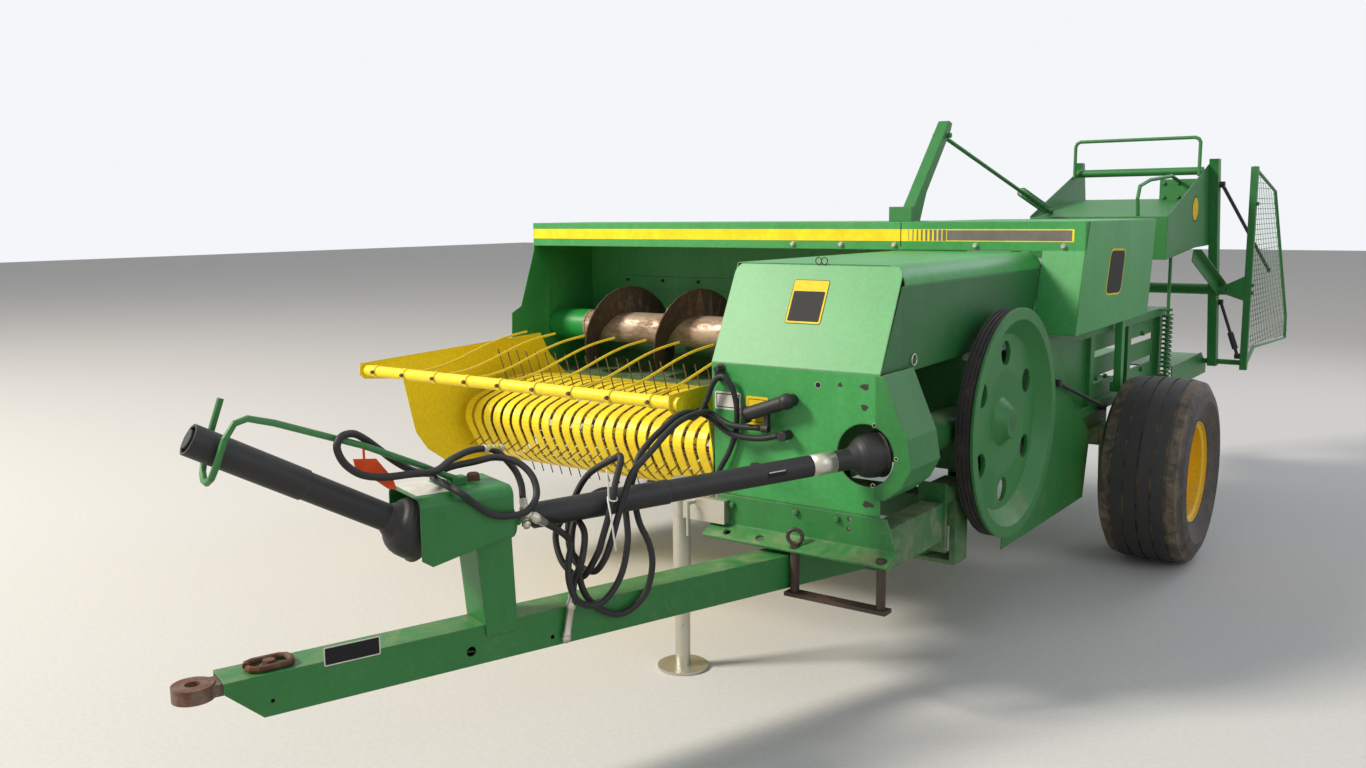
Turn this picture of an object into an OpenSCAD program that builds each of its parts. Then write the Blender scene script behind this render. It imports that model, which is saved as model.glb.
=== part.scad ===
// Square baler with a side pickup, an auger feeder house, a rear bale ejector and a swing tongue.
// X runs to the machine's left, Y to the rear and Z up. The front of the gear box stands near y = 0.

/* [Wheels] */
// Outer radius of the left tyre
tyre_r = 390; // [380:1:396]
// Width of the left tyre
tyre_w = 343; // [280:1:360]
// Outer radius of the right tyre
small_tyre_r = 330; // [300:1:345]
// Width of the right tyre
small_tyre_w = 190; // [150:1:215]
// Distance of the axle line behind the datum
axle_y = 1779; // [1750:1:1800]
// Sideways place of the left wheel's middle
left_wheel_x = 957; // [945:1:975]
// Sideways place of the right wheel's middle
right_wheel_x = -1700; // [-1720:1:-1690]
// Radius of the wheel rim's outer flange
rim_r = 212; // [200:1:220]
// Radius of the wheel spindles
spindle_r = 22; // [18:1:26]

/* [Bale case] */
// Inside width of the bale case
bale_w = 457; // [440:1:470]
// Inside height of the bale case
bale_h = 356; // [340:1:370]
// Sideways place of the bale case's middle
bale_x = 470; // [460:1:480]
// Height of the bale case floor
bale_z = 640; // [630:1:650]
// Wall of the bale case
case_wall = 6; // [4:1:8]
// Front end of the bale case
case_front = 760; // [750:1:780]
// Rear end of the bale case
case_rear = 2700; // [2680:1:2705]

/* [Feeder house] */
// Left end of the hood
hood_left = 848; // [840:1:860]
// Right end of the hood
hood_right = -1881; // [-1900:1:-1860]
// Height of the hood's top
hood_top = 1440; // [1435:1:1460]
// Front face of the hood's stripe band
hood_front = 974; // [960:1:985]
// Height of the stripe band
band_h = 108; // [90:1:125]
// Thickness of the sheet metal
sheet = 3; // [2:0.5:4]
// Height of the platform floor under the auger
floor_z = 700; // [695:1:705]
// Radius of the auger flights
auger_r = 205; // [190:1:207]
// Radius of the auger tube
auger_tube_r = 76; // [60:1:90]
// Height of the auger axis
auger_z = 927; // [920:1:940]
// Place of the auger axis behind the datum
auger_y = 1150; // [1140:1:1170]
// Pitch of the auger flights
auger_pitch = 420; // [360:5:440]

/* [Gear box and shields] */
// Right side of the front box
box_right = 107; // [100:1:115]
// Left side of the front box
box_left = 688; // [680:1:695]
// Front face of the front box
box_front = -354; // [-360:1:-350]
// Height of the front box's top
box_top = 1327; // [1310:1:1331]
// Height of the joint between upper and lower front panels
box_joint = 1022; // [1015:1:1035]
// Height of the bottom lip
lip_z = 484; // [480:1:500]
// Radius of the flywheel
flywheel_r = 389; // [370:1:392]
// Height of the flywheel's axis
flywheel_z = 772; // [765:1:780]
// Place of the flywheel's axis behind the datum
flywheel_y = 450; // [445:1:460]
// Width of the flywheel's rim
flywheel_w = 64; // [60:1:75]

/* [Pickup] */
// Number of stripper bands
band_count = 26; // [20:1:27]
// Spacing of the stripper bands
band_pitch = 54; // [50:1:55]
// Right end of the first band
pickup_right = -1410; // [-1420:1:-1400]
// Radius of the tine reel to the tine tips
tine_r = 300; // [290:1:303]
// Number of tine bars on the reel
tine_bars = 4; // [3:1:5]
// Wire of the tines
tine_d = 5; // [4:0.5:6]

/* [Tongue] */
// Width of the tongue tube
tongue_w = 102; // [95:1:106]
// Height of the tongue tube
tongue_h = 100; // [90:1:105]
// Height of the tongue tube's middle
tongue_z = 410; // [405:1:415]
// Angle of the tongue in its transport place
tongue_angle = 19.2; // [18.8:0.1:19.6]
// Length from the swing pivot to the hitch eye
hitch_reach = 2310; // [2280:5:2340]
// Radius of the drawbar pin hole
hitch_hole_r = 17; // [14:0.5:20]
// Radius of the swing pivot pin
swing_pin_r = 20; // [16:1:24]

/* [Drive line] */
// Radius of the rear driveline guard tube
rear_tube_r = 31; // [28:1:34]
// Radius of the front driveline guard tube
front_tube_r = 37; // [34:1:40]

/* [Jack] */
// Outer radius of the jack tube
jack_r = 29; // [26:1:32]
// Travel of the jack leg
jack_travel = 300; // [260:5:320]

/* [Ejector] */
// Width of the ejector between its side plates
ejector_w = 640; // [620:1:650]
// Height of the ejector masts
mast_top = 1730; // [1700:1:1760]
// Place of the masts' feet behind the datum
mast_y = 3390; // [3380:1:3400]
// Wire spacing of the side guard's mesh
mesh_pitch = 62; // [50:1:80]

/* [Hidden] */

green = [0.15, 0.5, 0.2];
light_green = [0.3, 0.66, 0.35];
yellow = [0.95, 0.84, 0.06];
black = [0.08, 0.08, 0.09];
steel = [0.45, 0.4, 0.36];
zinc = [0.75, 0.76, 0.74];
$fn = 32;

// Clearances: between a pin and its bore, and between a piece and its seat
run_gap = 0.05;
seat_gap = 0.3;

// Overall reach, which sets the origin at the middle of the ground plan
pivot = [576, 200];
tyre_out = left_wheel_x + tyre_w / 2;
guard_rear = mast_y + 1190;
eye_r = 46;
hitch_tip_y = pivot[1] - hitch_reach * cos(tongue_angle) - eye_r;
mid_x = (tyre_out + hood_right) / 2;
mid_y = (hitch_tip_y + guard_rear) / 2;

module at_origin() {
    translate([-mid_x, -mid_y, 0]) children();
}

// A flat plate across X, drawn by its (y, z) outline
module plate_x(outline, x, t) {
    translate([x, 0, 0]) rotate([90, 0, 90]) linear_extrude(t) polygon(outline);
}

// A flat plate across Y, drawn by its (x, z) outline
module plate_y(outline, y, t) {
    translate([0, y + t, 0]) rotate([90, 0, 0]) linear_extrude(t) polygon(outline);
}

// A block given by its low and high corners
module block(low, high) {
    translate(low) cube(high - low);
}

// A round bar between two points
module bar(p, q, r) {
    d = q - p;
    translate(p) rotate([0, acos(d[2] / norm(d)), atan2(d[1], d[0])]) cylinder(r = r, h = norm(d));
}

// A cylinder along X from x to x + h
module disc_x(x, y, z, r, h) {
    translate([x, y, z]) rotate([0, 90, 0]) cylinder(r = r, h = h, $fn = 64);
}

// A bent round bar or hose: rings of points swept along a route, square to its bends
function unit(v) = v / norm(v);
function heading(route, i) = let (last = len(route) - 1)
    unit((i < last ? unit(route[i + 1] - route[i]) : [0, 0, 0]) +
        (i > 0 ? unit(route[i] - route[i - 1]) : [0, 0, 0]));
function ring(centre, along, side, r, n) = let (u = unit(cross(along, side)), v = cross(u, along))
    [for (k = [0:n - 1]) centre + r * (cos(360 * k / n) * u + sin(360 * k / n) * v)];
function ring_faces(rings, n) = concat([[for (k = [n - 1:-1:0]) k]],
    [for (i = [0:rings - 2]) for (k = [0:n - 1])
        [n * i + k, n * i + (k + 1) % n, n * i + n + (k + 1) % n, n * i + n + k]],
    [[for (k = [0:n - 1]) n * (rings - 1) + k]]);

module bent_bar(route, r, side = [1, 0, 0], n = 8) {
    polyhedron([for (i = [0:len(route) - 1]) each ring(route[i], heading(route, i), side, r, n)],
        ring_faces(len(route), n), convexity = 6);
}

// A coil spring along Z, as a swept helix
function coil(r, length, turns, steps) = [for (i = [0:turns * steps])
    [r * cos(360 * i / steps), r * sin(360 * i / steps), length * i / (turns * steps)]];

// Placing in the tongue's own frame, where +X points from the pivot to the hitch
module on_tongue() {
    translate([pivot[0], pivot[1], 0]) rotate([0, 0, -90 - tongue_angle]) children();
}
function from_tongue(p) = let (a = -90 - tongue_angle)
    [pivot[0] + p[0] * cos(a) - p[1] * sin(a), pivot[1] + p[0] * sin(a) + p[1] * cos(a), p[2]];

// Wheels
module tyre(r, w, rim, grooves) {
    bead = w * 0.36 + 2;
    edge = r - 52;
    groove_w = 9;
    groove_d = 9;
    wall = 12;
    difference() {
        rotate_extrude($fn = 96) polygon([[rim - 14, 8 - bead], [rim + seat_gap, seat_gap - bead],
            [rim + 3, -bead - 14], [edge - 40, -w * 0.5],
            [edge, -w * 0.48], [r - 14, -w * 0.42], [r - 4, -w * 0.3], [r, 0], [r - 4, w * 0.3],
            [r - 14, w * 0.42], [edge, w * 0.48], [edge - 40, w * 0.5], [rim + 3, bead + 14],
                [rim + seat_gap, bead - seat_gap],
            [rim - 14, bead - 8], [rim - 14, bead - 8 - wall], [rim + 16, bead - 2],
                [edge - 40, w * 0.5 - wall],
            [r - 34, w * 0.34], [r - 34, -w * 0.34], [edge - 40, wall - w * 0.5], [rim + 16, 2 - bead],
            [rim - 14, 8 + wall - bead]]);
        for (i = [0:grooves - 1]) {
            place = (i - (grooves - 1) / 2) * w * 0.62 / (grooves - 1);
            translate([0, 0, place - groove_w / 2]) rotate_extrude($fn = 96)
                translate([r - groove_d, 0]) square([groove_d + 10, groove_w]);
        }
    }
}

module rim(r, w, disc, bore) {
    t = 5;
    half = w * 0.36 + 2;
    stud_r = 8;
    difference() {
        union() {
            rotate_extrude($fn = 72) polygon([[r, -half - 12], [r, -half], [r - 18, -half + 8],
                [r - 18, -w * 0.15],
                [r - 34, -w * 0.1], [r - 34, w * 0.1], [r - 18, w * 0.15], [r - 18, half - 8], [r, half],
                [r, half + 12], [r - t, half + 12], [r - t, half + 3], [r - 18 - t, half - 5],
                [r - 18 - t, w * 0.15 + 2], [r - 34 - t, w * 0.1 + 2], [r - 34 - t, -w * 0.1 - 2],
                [r - 18 - t, -w * 0.15 - 2], [r - 18 - t, -half + 5], [r - t, -half - 3],
                    [r - t, -half - 12]]);
            rotate_extrude($fn = 72) polygon([[bore, disc - 66], [52, disc - 66], [52, disc - 6],
                [112, disc + 22],
                [r - 34 - t - 1, disc - 2], [r - 34 - t + 1, disc + 8], [112, disc + 32],
                    [66, disc + 6], [62, disc + 6],
                [62, disc + 56], [54, disc + 64], [bore, disc + 64]]);
        }
        for (a = [0:60:300]) rotate([0, 0, a]) translate([86, 0, disc - 30])
            cylinder(r = stud_r, h = 80, $fn = 20);
    }
}

module wheel_at(x, z) {
    translate([x, axle_y, z]) rotate([0, 90, 0]) children();
}

axle_z = tyre_r;
small_axle_z = small_tyre_r;
small_rim_r = rim_r - 12;
left_disc = 20;
right_disc = 6;

module tyre_left() {
    color(black) wheel_at(left_wheel_x, axle_z) tyre(tyre_r, tyre_w, rim_r, 5);
}

module rim_left() {
    color(yellow) wheel_at(left_wheel_x, axle_z) rim(rim_r, tyre_w, left_disc, spindle_r + run_gap);
}

module tyre_right() {
    color(black) wheel_at(right_wheel_x, small_axle_z) tyre(small_tyre_r, small_tyre_w, small_rim_r, 4);
}

module rim_right() {
    color(yellow) wheel_at(right_wheel_x, small_axle_z) mirror([0, 0, 1])
        rim(small_rim_r, small_tyre_w, right_disc, spindle_r + run_gap);
}

// Frame
case_left = bale_x + bale_w / 2 + case_wall;
case_right = bale_x - bale_w / 2 - case_wall;
case_floor = bale_z - case_wall;
case_top = bale_z + bale_h + case_wall;
rail_h = 74;
rail_w = 55;
rail_low = case_floor - rail_h;
beam_h = 90;
beam_top = rail_low;
sill_low = tongue_z + tongue_h / 2 + 8;
sill_top = 606;

// Rectangular tube with an open inside, given like a block; along tells which way it runs
module tube(low, high, wall, along) {
    inset = [for (i = [0:2]) i == along ? -1 : wall];
    difference() {
        block(low, high);
        block(low + inset, high - inset);
    }
}

module main_frame() {
    rail_front = flywheel_y - 215;
    low_strap = tongue_z - tongue_h / 2 - 8;
    color(green) {
        // Two rails under the gear case and the bale case
        for (x = [case_right, case_left - rail_w]) tube([x, rail_front, rail_low],
            [x + rail_w, axle_y + 60, case_floor], 6, 1);
        // Left and right stub rails that carry the front sill
        tube([640, box_front + seat_gap, sill_low - 22], [716, 44, sill_low + 100], 6, 1);
        tube([150, box_front + seat_gap, sill_low], [216, rail_front + 60, sill_low + 90], 6, 1);
        // Hanger plate at the end of the left stub rail
        block([632, 44, sill_low - 60], [726, 56, rail_low + 70]);
        block([640, 56, rail_low], [716, rail_front, case_floor - 20]);
        // Cross beam over the tongue's pivot and the strap under it, with the pivot pin
        tube([216, 150, sill_low], [640, 250, sill_low + 90], 6, 0);
        block([640, 150, sill_low], [660, 250, rail_low]);
        block([500, 150, low_strap - 14], [716, 250, low_strap]);
        block([696, 150, low_strap], [716, 250, sill_low]);
        block([640, 150, sill_low], [716, 250, rail_low]);
        translate([pivot[0], pivot[1], low_strap - 14]) cylinder(r = swing_pin_r, h = sill_low +
            10 - low_strap + 14, $fn = 48);
        // Beam that carries the feeder platform
        tube([hood_right + 60, 1250, rail_low], [case_right + 10, 1330, case_floor], 6, 0);
        for (x = [hood_right + 100, -1000, -300]) block([x, 1260, case_floor],
            [x + 60, 1320, floor_z - 10 - seat_gap]);
    }
}

module front_sill() {
    plate_t = 8;
    color(green) difference() {
        union() {
            plate_y([[134, sill_top], [716, sill_top], [752, 505], [112, 505]], box_front - plate_t,
                plate_t);
            plate_x([[box_front, 516], [box_front, 508], [box_front - 66, lip_z - 8],
                [box_front - 66, lip_z]], 112, 640);
        }
        for (x = [190, 310]) translate([x, box_front - 40, 400]) cylinder(r = 13, h = 200);
        for (p = [[600, 590], [598, 560]]) translate([p[0], box_front + 10, p[1]]) rotate([90, 0, 0])
            cylinder(r = 7, h = 30);
        for (x = [439, 724]) translate([x, box_front - 48, 400]) cylinder(r = 14 + run_gap, h = 200);
    }
}

module tongue_pins() {
    strap_low = 338;
    color(steel) for (x = [439, 724]) translate([x, box_front - 48, strap_low])
        cylinder(r = 14, h = lip_z + 16 - strap_low);
    color(green) {
        difference() {
            block([414, box_front - 70, strap_low + 2], [748, box_front - 26, strap_low + 14]);
            for (x = [439, 724]) translate([x, box_front - 48, 300]) cylinder(r = 14 + run_gap, h = 200);
        }
        translate([439, box_front - 48, lip_z + 38]) rotate([90, 0, 20]) rotate_extrude($fn = 32)
            translate([22, 0]) circle(r = 6, $fn = 16);
    }
}

module axle() {
    beam_low = beam_top - beam_h;
    plate_t = 24;
    left_end = case_left + 2;
    right_end = right_wheel_x + small_tyre_w / 2 + 52;
    left_plate = left_end + seat_gap;
    right_plate = right_end - seat_gap;
    color(green) {
        tube([right_end, axle_y - 50, beam_low], [left_end, axle_y + 50, beam_top], 8, 0);
        // Drop plate and spindle of the left wheel
        plate_x([[axle_y - 50, beam_top], [axle_y + 50, beam_top], [axle_y + 42, axle_z - 48],
            [axle_y - 42, axle_z - 48]], left_plate, plate_t);
        disc_x(left_plate + plate_t, axle_y, axle_z, 38, left_wheel_x +
            left_disc - 66 - 4 - left_plate - plate_t);
        disc_x(left_plate + plate_t, axle_y, axle_z, spindle_r, left_wheel_x + left_disc +
            66 - left_plate - plate_t);
        // Drop plate and spindle of the right wheel
        plate_x([[axle_y - 50, beam_top], [axle_y + 50, beam_top], [axle_y + 42, small_axle_z - 48],
            [axle_y - 42, small_axle_z - 48]], right_plate - plate_t, plate_t);
        disc_x(right_wheel_x - right_disc + 66 + 4, axle_y, small_axle_z, 38,
            right_plate - plate_t - right_wheel_x + right_disc - 70);
        disc_x(right_wheel_x - right_disc - 66, axle_y, small_axle_z, spindle_r,
            right_plate - plate_t - right_wheel_x + right_disc + 66);
    }
}

rib = 22;
spring_at = [case_left + rib + 34, 2600];
spring_low = 680;
spring_rod_r = 8;

module bale_case() {
    slot_w = 26;
    color(green) difference() {
        union() {
            block([case_right, case_front, case_floor], [case_left, case_rear, case_top]);
            // Angle rails along the case's four corners
            for (x = [case_right - rib, case_left]) for (z = [case_floor, case_top - 40])
                block([x, case_front + 40, z], [x + rib, case_rear, z + 40]);
            // Upright stiffeners
            for (x = [case_right - rib, case_left]) for (y = [1500, 2050, 2600])
                block([x, y, case_floor], [x + rib, y + 50, case_top]);
            // Lugs that hold the tension rod
            for (z = [spring_low - 12, case_top - 12]) block([case_left, spring_at[1] - 16, z],
                [spring_at[0] + 18, spring_at[1] + 16, z + 12]);
        }
        block([case_right + case_wall, case_front - 1, bale_z],
            [case_left - case_wall, case_rear + 1, bale_z + bale_h]);
        // Bores of the tension rod's lugs
        translate([spring_at[0], spring_at[1], 600]) cylinder(r = spring_rod_r + run_gap, h = 500);
        // Feed opening towards the auger
        block([case_right - 30, auger_y - 215, bale_z + 10],
            [case_right + case_wall + 1, auger_y + 225, bale_z + 240]);
        // Bore that carries the auger's left end
        disc_x(case_right - 30, auger_y, auger_z, auger_stub_r + run_gap, 60);
        // Needle slots in the floor and the top
        for (x = [bale_x - 100, bale_x + 100]) block([x - slot_w / 2, 1560, case_floor - 1],
            [x + slot_w / 2, 2300, case_top + 1]);
        // Inspection slots in the walls
        for (z = [bale_z + 110, bale_z + 220]) for (y = [1600, 2150])
            block([case_right - 1, y, z], [case_left + 1, y + 400, z + 30]);
    }
}

// Cast gear case that carries the flywheel shaft
drive_in = [660, -330, 785];
cross_pin_r = 8;

module gearcase() {
    shaft_r = 30;
    color(green) {
        difference() {
            block([case_right, flywheel_y - 210, case_floor], [case_left, case_front, case_top]);
            block([case_right + 12, flywheel_y + 150, bale_z + 12],
                [case_left - 12, case_front + 1, bale_z + bale_h]);
        }
        disc_x(case_left, flywheel_y, flywheel_z, 70, 8);
        disc_x(case_left, flywheel_y, flywheel_z, shaft_r, 84);
        // Input shaft with its housing and its fork for the driveline's cross pin
        translate([drive_in[0], flywheel_y - 210, drive_in[2]]) rotate([90, 0, 0])
            cylinder(r = 62, h = 300, $fn = 48);
        translate([drive_in[0], flywheel_y - 210, drive_in[2]]) rotate([90, 0, 0])
            cylinder(r = 14, h = 535);
        block(drive_in + [-14, 26, -30], drive_in + [14, 40, 30]);
        for (z = [-30, 22]) block(drive_in + [-12, -14, z], drive_in + [12, 30, z + 8]);
        translate(drive_in + [0, 0, -30]) cylinder(r = cross_pin_r, h = 60);
    }
}

// Flywheel
wheel_face = 803;
hub_r = 62;
shaft_hole_r = 30 + run_gap;

module flywheel() {
    rim_in = flywheel_r - 59;
    inner = wheel_face - flywheel_w;
    color(green) translate([0, flywheel_y, flywheel_z]) rotate([0, 90, 0]) difference() {
        rotate_extrude($fn = 96) polygon([[shaft_hole_r, 716], [hub_r, 716], [hub_r + 14, 730],
            [180, 742], [290, 740],
            [rim_in, 732], [rim_in, inner], [flywheel_r - 12, inner], [flywheel_r - 12, wheel_face - 12],
            [flywheel_r, wheel_face - 10], [flywheel_r, wheel_face], [rim_in + 20, wheel_face],
                [rim_in + 8, wheel_face - 13],
            [300, 754], [180, 758], [hub_r + 22, 748], [hub_r, 770], [hub_r - 12, 788],
                [shaft_hole_r, 788]]);
        for (a = [0:60:300]) rotate([0, 0, a]) translate([235, 0, 700])
            cylinder(r = 42, h = 80, $fn = 40);
    }
}

module flywheel_belt() {
    inner = wheel_face - flywheel_w;
    color(black) translate([0, flywheel_y, flywheel_z]) rotate([0, 90, 0]) difference() {
        translate([0, 0, inner + 3]) cylinder(r = flywheel_r - 3, h = flywheel_w - 17, $fn = 96);
        translate([0, 0, inner - 20]) cylinder(r = flywheel_r - 12 + seat_gap, h = 120, $fn = 96);
        for (i = [0:2]) translate([0, 0, inner + 9 + i * 14]) rotate_extrude($fn = 96)
            translate([flywheel_r - 8, 0]) square([10, 6]);
    }
}

// Needle rod outside the case, between its lug on the guard plate and the lug on the case's rail
module needle_rod() {
    front = [748, 1040, 830];
    rear = [748, 1640, 654];
    lug_r = 14;
    color(black) {
        bar(front, rear, 8);
        disc_x(case_left + rib + 2 * seat_gap + sheet, front[1], front[2], lug_r, 26);
        disc_x(case_left + rib + seat_gap, rear[1], rear[2], lug_r, 30);
    }
}

module flywheel_guard() {
    guard_plate_x = case_left + 22 + seat_gap;
    color(green) difference() {
        plate_x([[flywheel_y + 80, 300], [1450, 300], [1520, 560], [1250, 740], [985, 1008],
            [870, 1016], [700, 1100], [640, 1080]], guard_plate_x, sheet);
        disc_x(guard_plate_x - 20, flywheel_y, flywheel_z, flywheel_r + 14, 40);
    }
}

// Feeder house
house_rear = 1420;
roof_rear = 1930;
band_low = hood_top - band_h;
auger_stub_r = 25;
hood_end = hood_left - seat_gap;

module feeder_house() {
    color(green) {
        // Stripe band with its folded lip
        block([hood_right, hood_front, band_low], [hood_end, hood_front + sheet, hood_top]);
        block([hood_right, hood_front, band_low - sheet], [hood_end, hood_front + 24, band_low]);
        // Roof, deeper over the bale case
        block([hood_right, hood_front, hood_top - sheet], [hood_end, house_rear, hood_top]);
        block([box_right, house_rear, hood_top - sheet], [hood_end, roof_rear, hood_top]);
        // Rear wall behind the auger
        block([hood_right, house_rear - sheet, floor_z - 10], [case_right - 22, house_rear, hood_top]);
        // Right end wall with the auger's bearing
        difference() {
            plate_x([[hood_front, hood_top], [hood_front, band_low - 20], [869, 1033], [804, 1004],
                [797, 846], [797, floor_z - 30],
                [house_rear, floor_z - 30], [house_rear, hood_top]], hood_right, sheet);
            disc_x(hood_right - 10, auger_y, auger_z, auger_stub_r + run_gap, 40);
        }
        // Fill panel between the band and the flywheel
        plate_x([[hood_front, band_low], [hood_front + 3, band_low], [883, 1030], [880, 1030]],
            box_left + 2, hood_end - box_left - 2);
        // Posts from the bale case to the roof
        for (x = [case_right, case_left - 40]) block([x, roof_rear - 60, case_top],
            [x + 40, roof_rear - 20, hood_top - sheet]);
        block([box_right, house_rear - 40, case_top], [box_right + 3, house_rear, hood_top - sheet]);
        block([case_left + rib + seat_gap, 1790, 700], [742, 1830, 740]);
        block([740, 1790, 700], [770, 1830, hood_top - sheet]);
    }
}

pickup_left = pickup_right + band_count * band_pitch + 20;
pickup_pivot = [760, 640];
pickup_pin_r = 16;
end_t = 4;
right_end = pickup_right - 60;

module feeder_floor() {
    front = 797;
    left = case_right - 22 - seat_gap;
    right = hood_right + sheet + seat_gap;
    color(green) {
        plate_x([[front, floor_z - 10], [house_rear - sheet - seat_gap, floor_z - 10],
            [house_rear - sheet - seat_gap, floor_z + 260],
            [house_rear - 9, floor_z + 260], [house_rear - 33, floor_z + 80],
                [house_rear - 113, floor_z], [front, floor_z]],
            right, left - right);
        // Ears and pins that the pickup hangs on
        for (x = [right_end - 22, pickup_left + end_t + 8]) {
            plate_x([[730, 620], [750, 606], [775, 606], [900, floor_z - 10], [797, floor_z - 10],
                [760, 672], [735, 660]], x, 12);
        }
        disc_x(right_end - 22, pickup_pivot[0], pickup_pivot[1], pickup_pin_r, 40);
        disc_x(pickup_left - 14, pickup_pivot[0], pickup_pivot[1], pickup_pin_r, 36);
    }
}

module hood_end_door() {
    color(light_green) plate_x([[1010, 1441], [1931, 1438], [1854, 1038], [880, 1028]], hood_left, sheet);
}

// A helical flight as one closed ribbon, resting on the auger's tube
flight_steps = 20;
flight_in = auger_tube_r / cos(180 / flight_steps) + seat_gap;
flight_start = 234;
flight_right = hood_right + 254;

function flight_points(turns, thick) = [for (i = [0:turns * flight_steps])
    for (k = [[flight_in, 0], [auger_r, 0], [auger_r, thick], [flight_in, thick]])
        let (a = 360 * i / flight_steps + flight_start)
            [k[1] - auger_pitch * i / flight_steps, k[0] * cos(a), k[0] * sin(a)]];

module auger() {
    tube_right = hood_right + sheet + 5;
    tube_left = case_right - 40;
    collar = 225;
    color(steel) {
        disc_x(tube_right, auger_y, auger_z, auger_tube_r, tube_left - tube_right);
        disc_x(hood_right - 12, auger_y, auger_z, auger_stub_r, 40);
        disc_x(tube_left - 1, auger_y, auger_z, auger_stub_r, 45);
    }
    color(green) disc_x(tube_right + 1, auger_y, auger_z, auger_tube_r + 3, collar);
}

// Its turns run down towards the machine's right, and it stops below the tube there
module auger_flight() {
    turns = 4.1;
    color(steel) translate([flight_right + turns * auger_pitch, auger_y, auger_z])
        polyhedron(flight_points(turns, 6), ring_faces(turns * flight_steps + 1, 4), convexity = 8);
}

// Front box
module box_lower_panel() {
    color(light_green) difference() {
        plate_y([[box_right, box_joint], [box_left, box_joint], [box_left + 4, sill_top + seat_gap],
            [box_right + 14, sill_top + seat_gap]], box_front, 5);
        translate([645, box_front + 60, drive_in[2]]) rotate([90, 0, 0])
            cylinder(r = 92, h = 120, $fn = 64);
    }
}

module box_upper_panel() {
    lean = 149;
    corner = 34;
    color(light_green) difference() {
        plate_x([[box_front, box_joint + seat_gap], [box_front + sheet, box_joint + seat_gap],
            [box_front + lean + sheet, box_top - sheet - seat_gap],
                [box_front + lean, box_top - sheet - seat_gap]], box_right, box_left - box_right);
        // Rounded top corners
        for (side = [0, 1]) translate([side ? box_left - corner : box_right + corner, box_front +
            lean + 40, box_top - corner])
            mirror([side ? 1 : 0, 0, 0]) rotate([90, 0, 0]) difference() {
                translate([-corner - 1, 0, 0]) cube([corner + 1, corner + 10, 90]);
                translate([0, 0, -1]) cylinder(r = corner, h = 95, $fn = 48);
            }
    }
}

module box_top_cover() {
    edge_r = 60;
    front = box_front + 152;
    rear = hood_front - 6;
    color(light_green) {
        block([box_right, front, box_top - sheet], [box_left - edge_r, rear, box_top]);
        translate([box_left - edge_r, rear, box_top - edge_r]) rotate([90, 0, 0])
            linear_extrude(rear - front) intersection() {
            difference() {
                circle(r = edge_r, $fn = 64);
                circle(r = edge_r - sheet, $fn = 64);
            }
            square(edge_r + 1);
        }
    }
}

module box_walls() {
    shelf = box_top - 60 - seat_gap;
    color(green) {
        plate_x([[box_front + 5 + seat_gap, box_joint], [box_front + 135, shelf], [hood_front - 7, shelf],
            [hood_front - 92, box_joint + 20], [172, 1016], [-225, 1010]], box_left - sheet, sheet);
        plate_x([[box_front + 5, 620], [box_front + 5, box_joint],
            [box_front + 152, box_top - sheet - seat_gap],
            [hood_front - 7, box_top - sheet - seat_gap], [hood_front - 44, floor_z + seat_gap],
                [797 - seat_gap, floor_z + seat_gap],
            [797 - seat_gap, case_floor], [flywheel_y - 215, case_floor],
            [0, 620]], box_right, sheet);
        // Bulkhead over the gear case
        block([box_right + sheet, flywheel_y - 215, case_floor],
            [case_right, flywheel_y - 205, box_joint + 150]);
        block([case_right, flywheel_y - 215, case_top], [box_left - sheet, flywheel_y - 205, shelf]);
    }
}

module driveline_shield() {
    y = box_front - 4 - seat_gap;
    color(green) difference() {
        union() {
            plate_y([[676, 1020], [702, 1020], [740, 930], [777, 845], [791, 760], [760, 700],
                [709, 659], [676, 659]], y, 4);
            // Wall that follows the outline rearwards
            translate([0, y + 200, 0]) rotate([90, 0, 0]) linear_extrude(198)
                polygon([[700, 1024], [740, 930], [777, 845],
                [791, 760], [760, 700], [709, 659], [704, 661], [756, 703], [787, 762], [773, 844],
                    [736, 928], [696, 1023]]);
        }
        translate([645, box_front + 60, drive_in[2]]) rotate([90, 0, 0])
            cylinder(r = 92, h = 120, $fn = 64);
    }
}

// Pickup
reel = [285, 640];
bar_circle = 104;
band_gap = 15;
guard_pipe = [-430, 892];
guard_pipe_r = 21;
reel_shaft_r = 20;

module pickup_end(x) {
    outline = [[-458, 922], [560, 950], [620, 846], [780, 700], [785, 620], [740, 600], [600, 545],
        [420, 430], [120, 436],
        [-20, 452], [-135, 530], [-195, 610], [-251, 838], [-440, 860], [-464, 880]];
    difference() {
        plate_x(outline, x, end_t);
        disc_x(x - 10, reel[0], reel[1], reel_shaft_r + run_gap, 40);
        disc_x(x - 10, pickup_pivot[0], pickup_pivot[1], pickup_pin_r + run_gap, 40);
        disc_x(x - 10, guard_pipe[0], guard_pipe[1], guard_pipe_r + run_gap, 40);
    }
}

module pickup_ends() {
    color(yellow) {
        pickup_end(right_end);
        pickup_end(pickup_left);
        // Back tube that joins the two ends
        tube([right_end + end_t, 620, 560], [pickup_left, 670, 610], 4, 0);
    }
}

// A smooth curve through points, with n steps between two of them
function between(a, b, c, d, t) = 0.5 * (2 * b + t * (c - a) + t * t * (2 * a - 5 * b + 4 * c - d) +
    t * t * t * (3 * b - a - 3 * c + d));
function curve(p, n) = let (last = len(p) - 1) concat([for (i = [0:last - 1]) for (k = [0:n - 1])
    between(p[max(i - 1, 0)], p[i], p[i + 1], p[min(i + 2, last)], k / n)], [p[last]]);
// The same curve moved sideways by d, to the right of its heading
function aside(p, d) = [for (i = [0:len(p) - 1]) let (h = heading(p, i)) p[i] + d * [h[1], -h[0]]];

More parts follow.
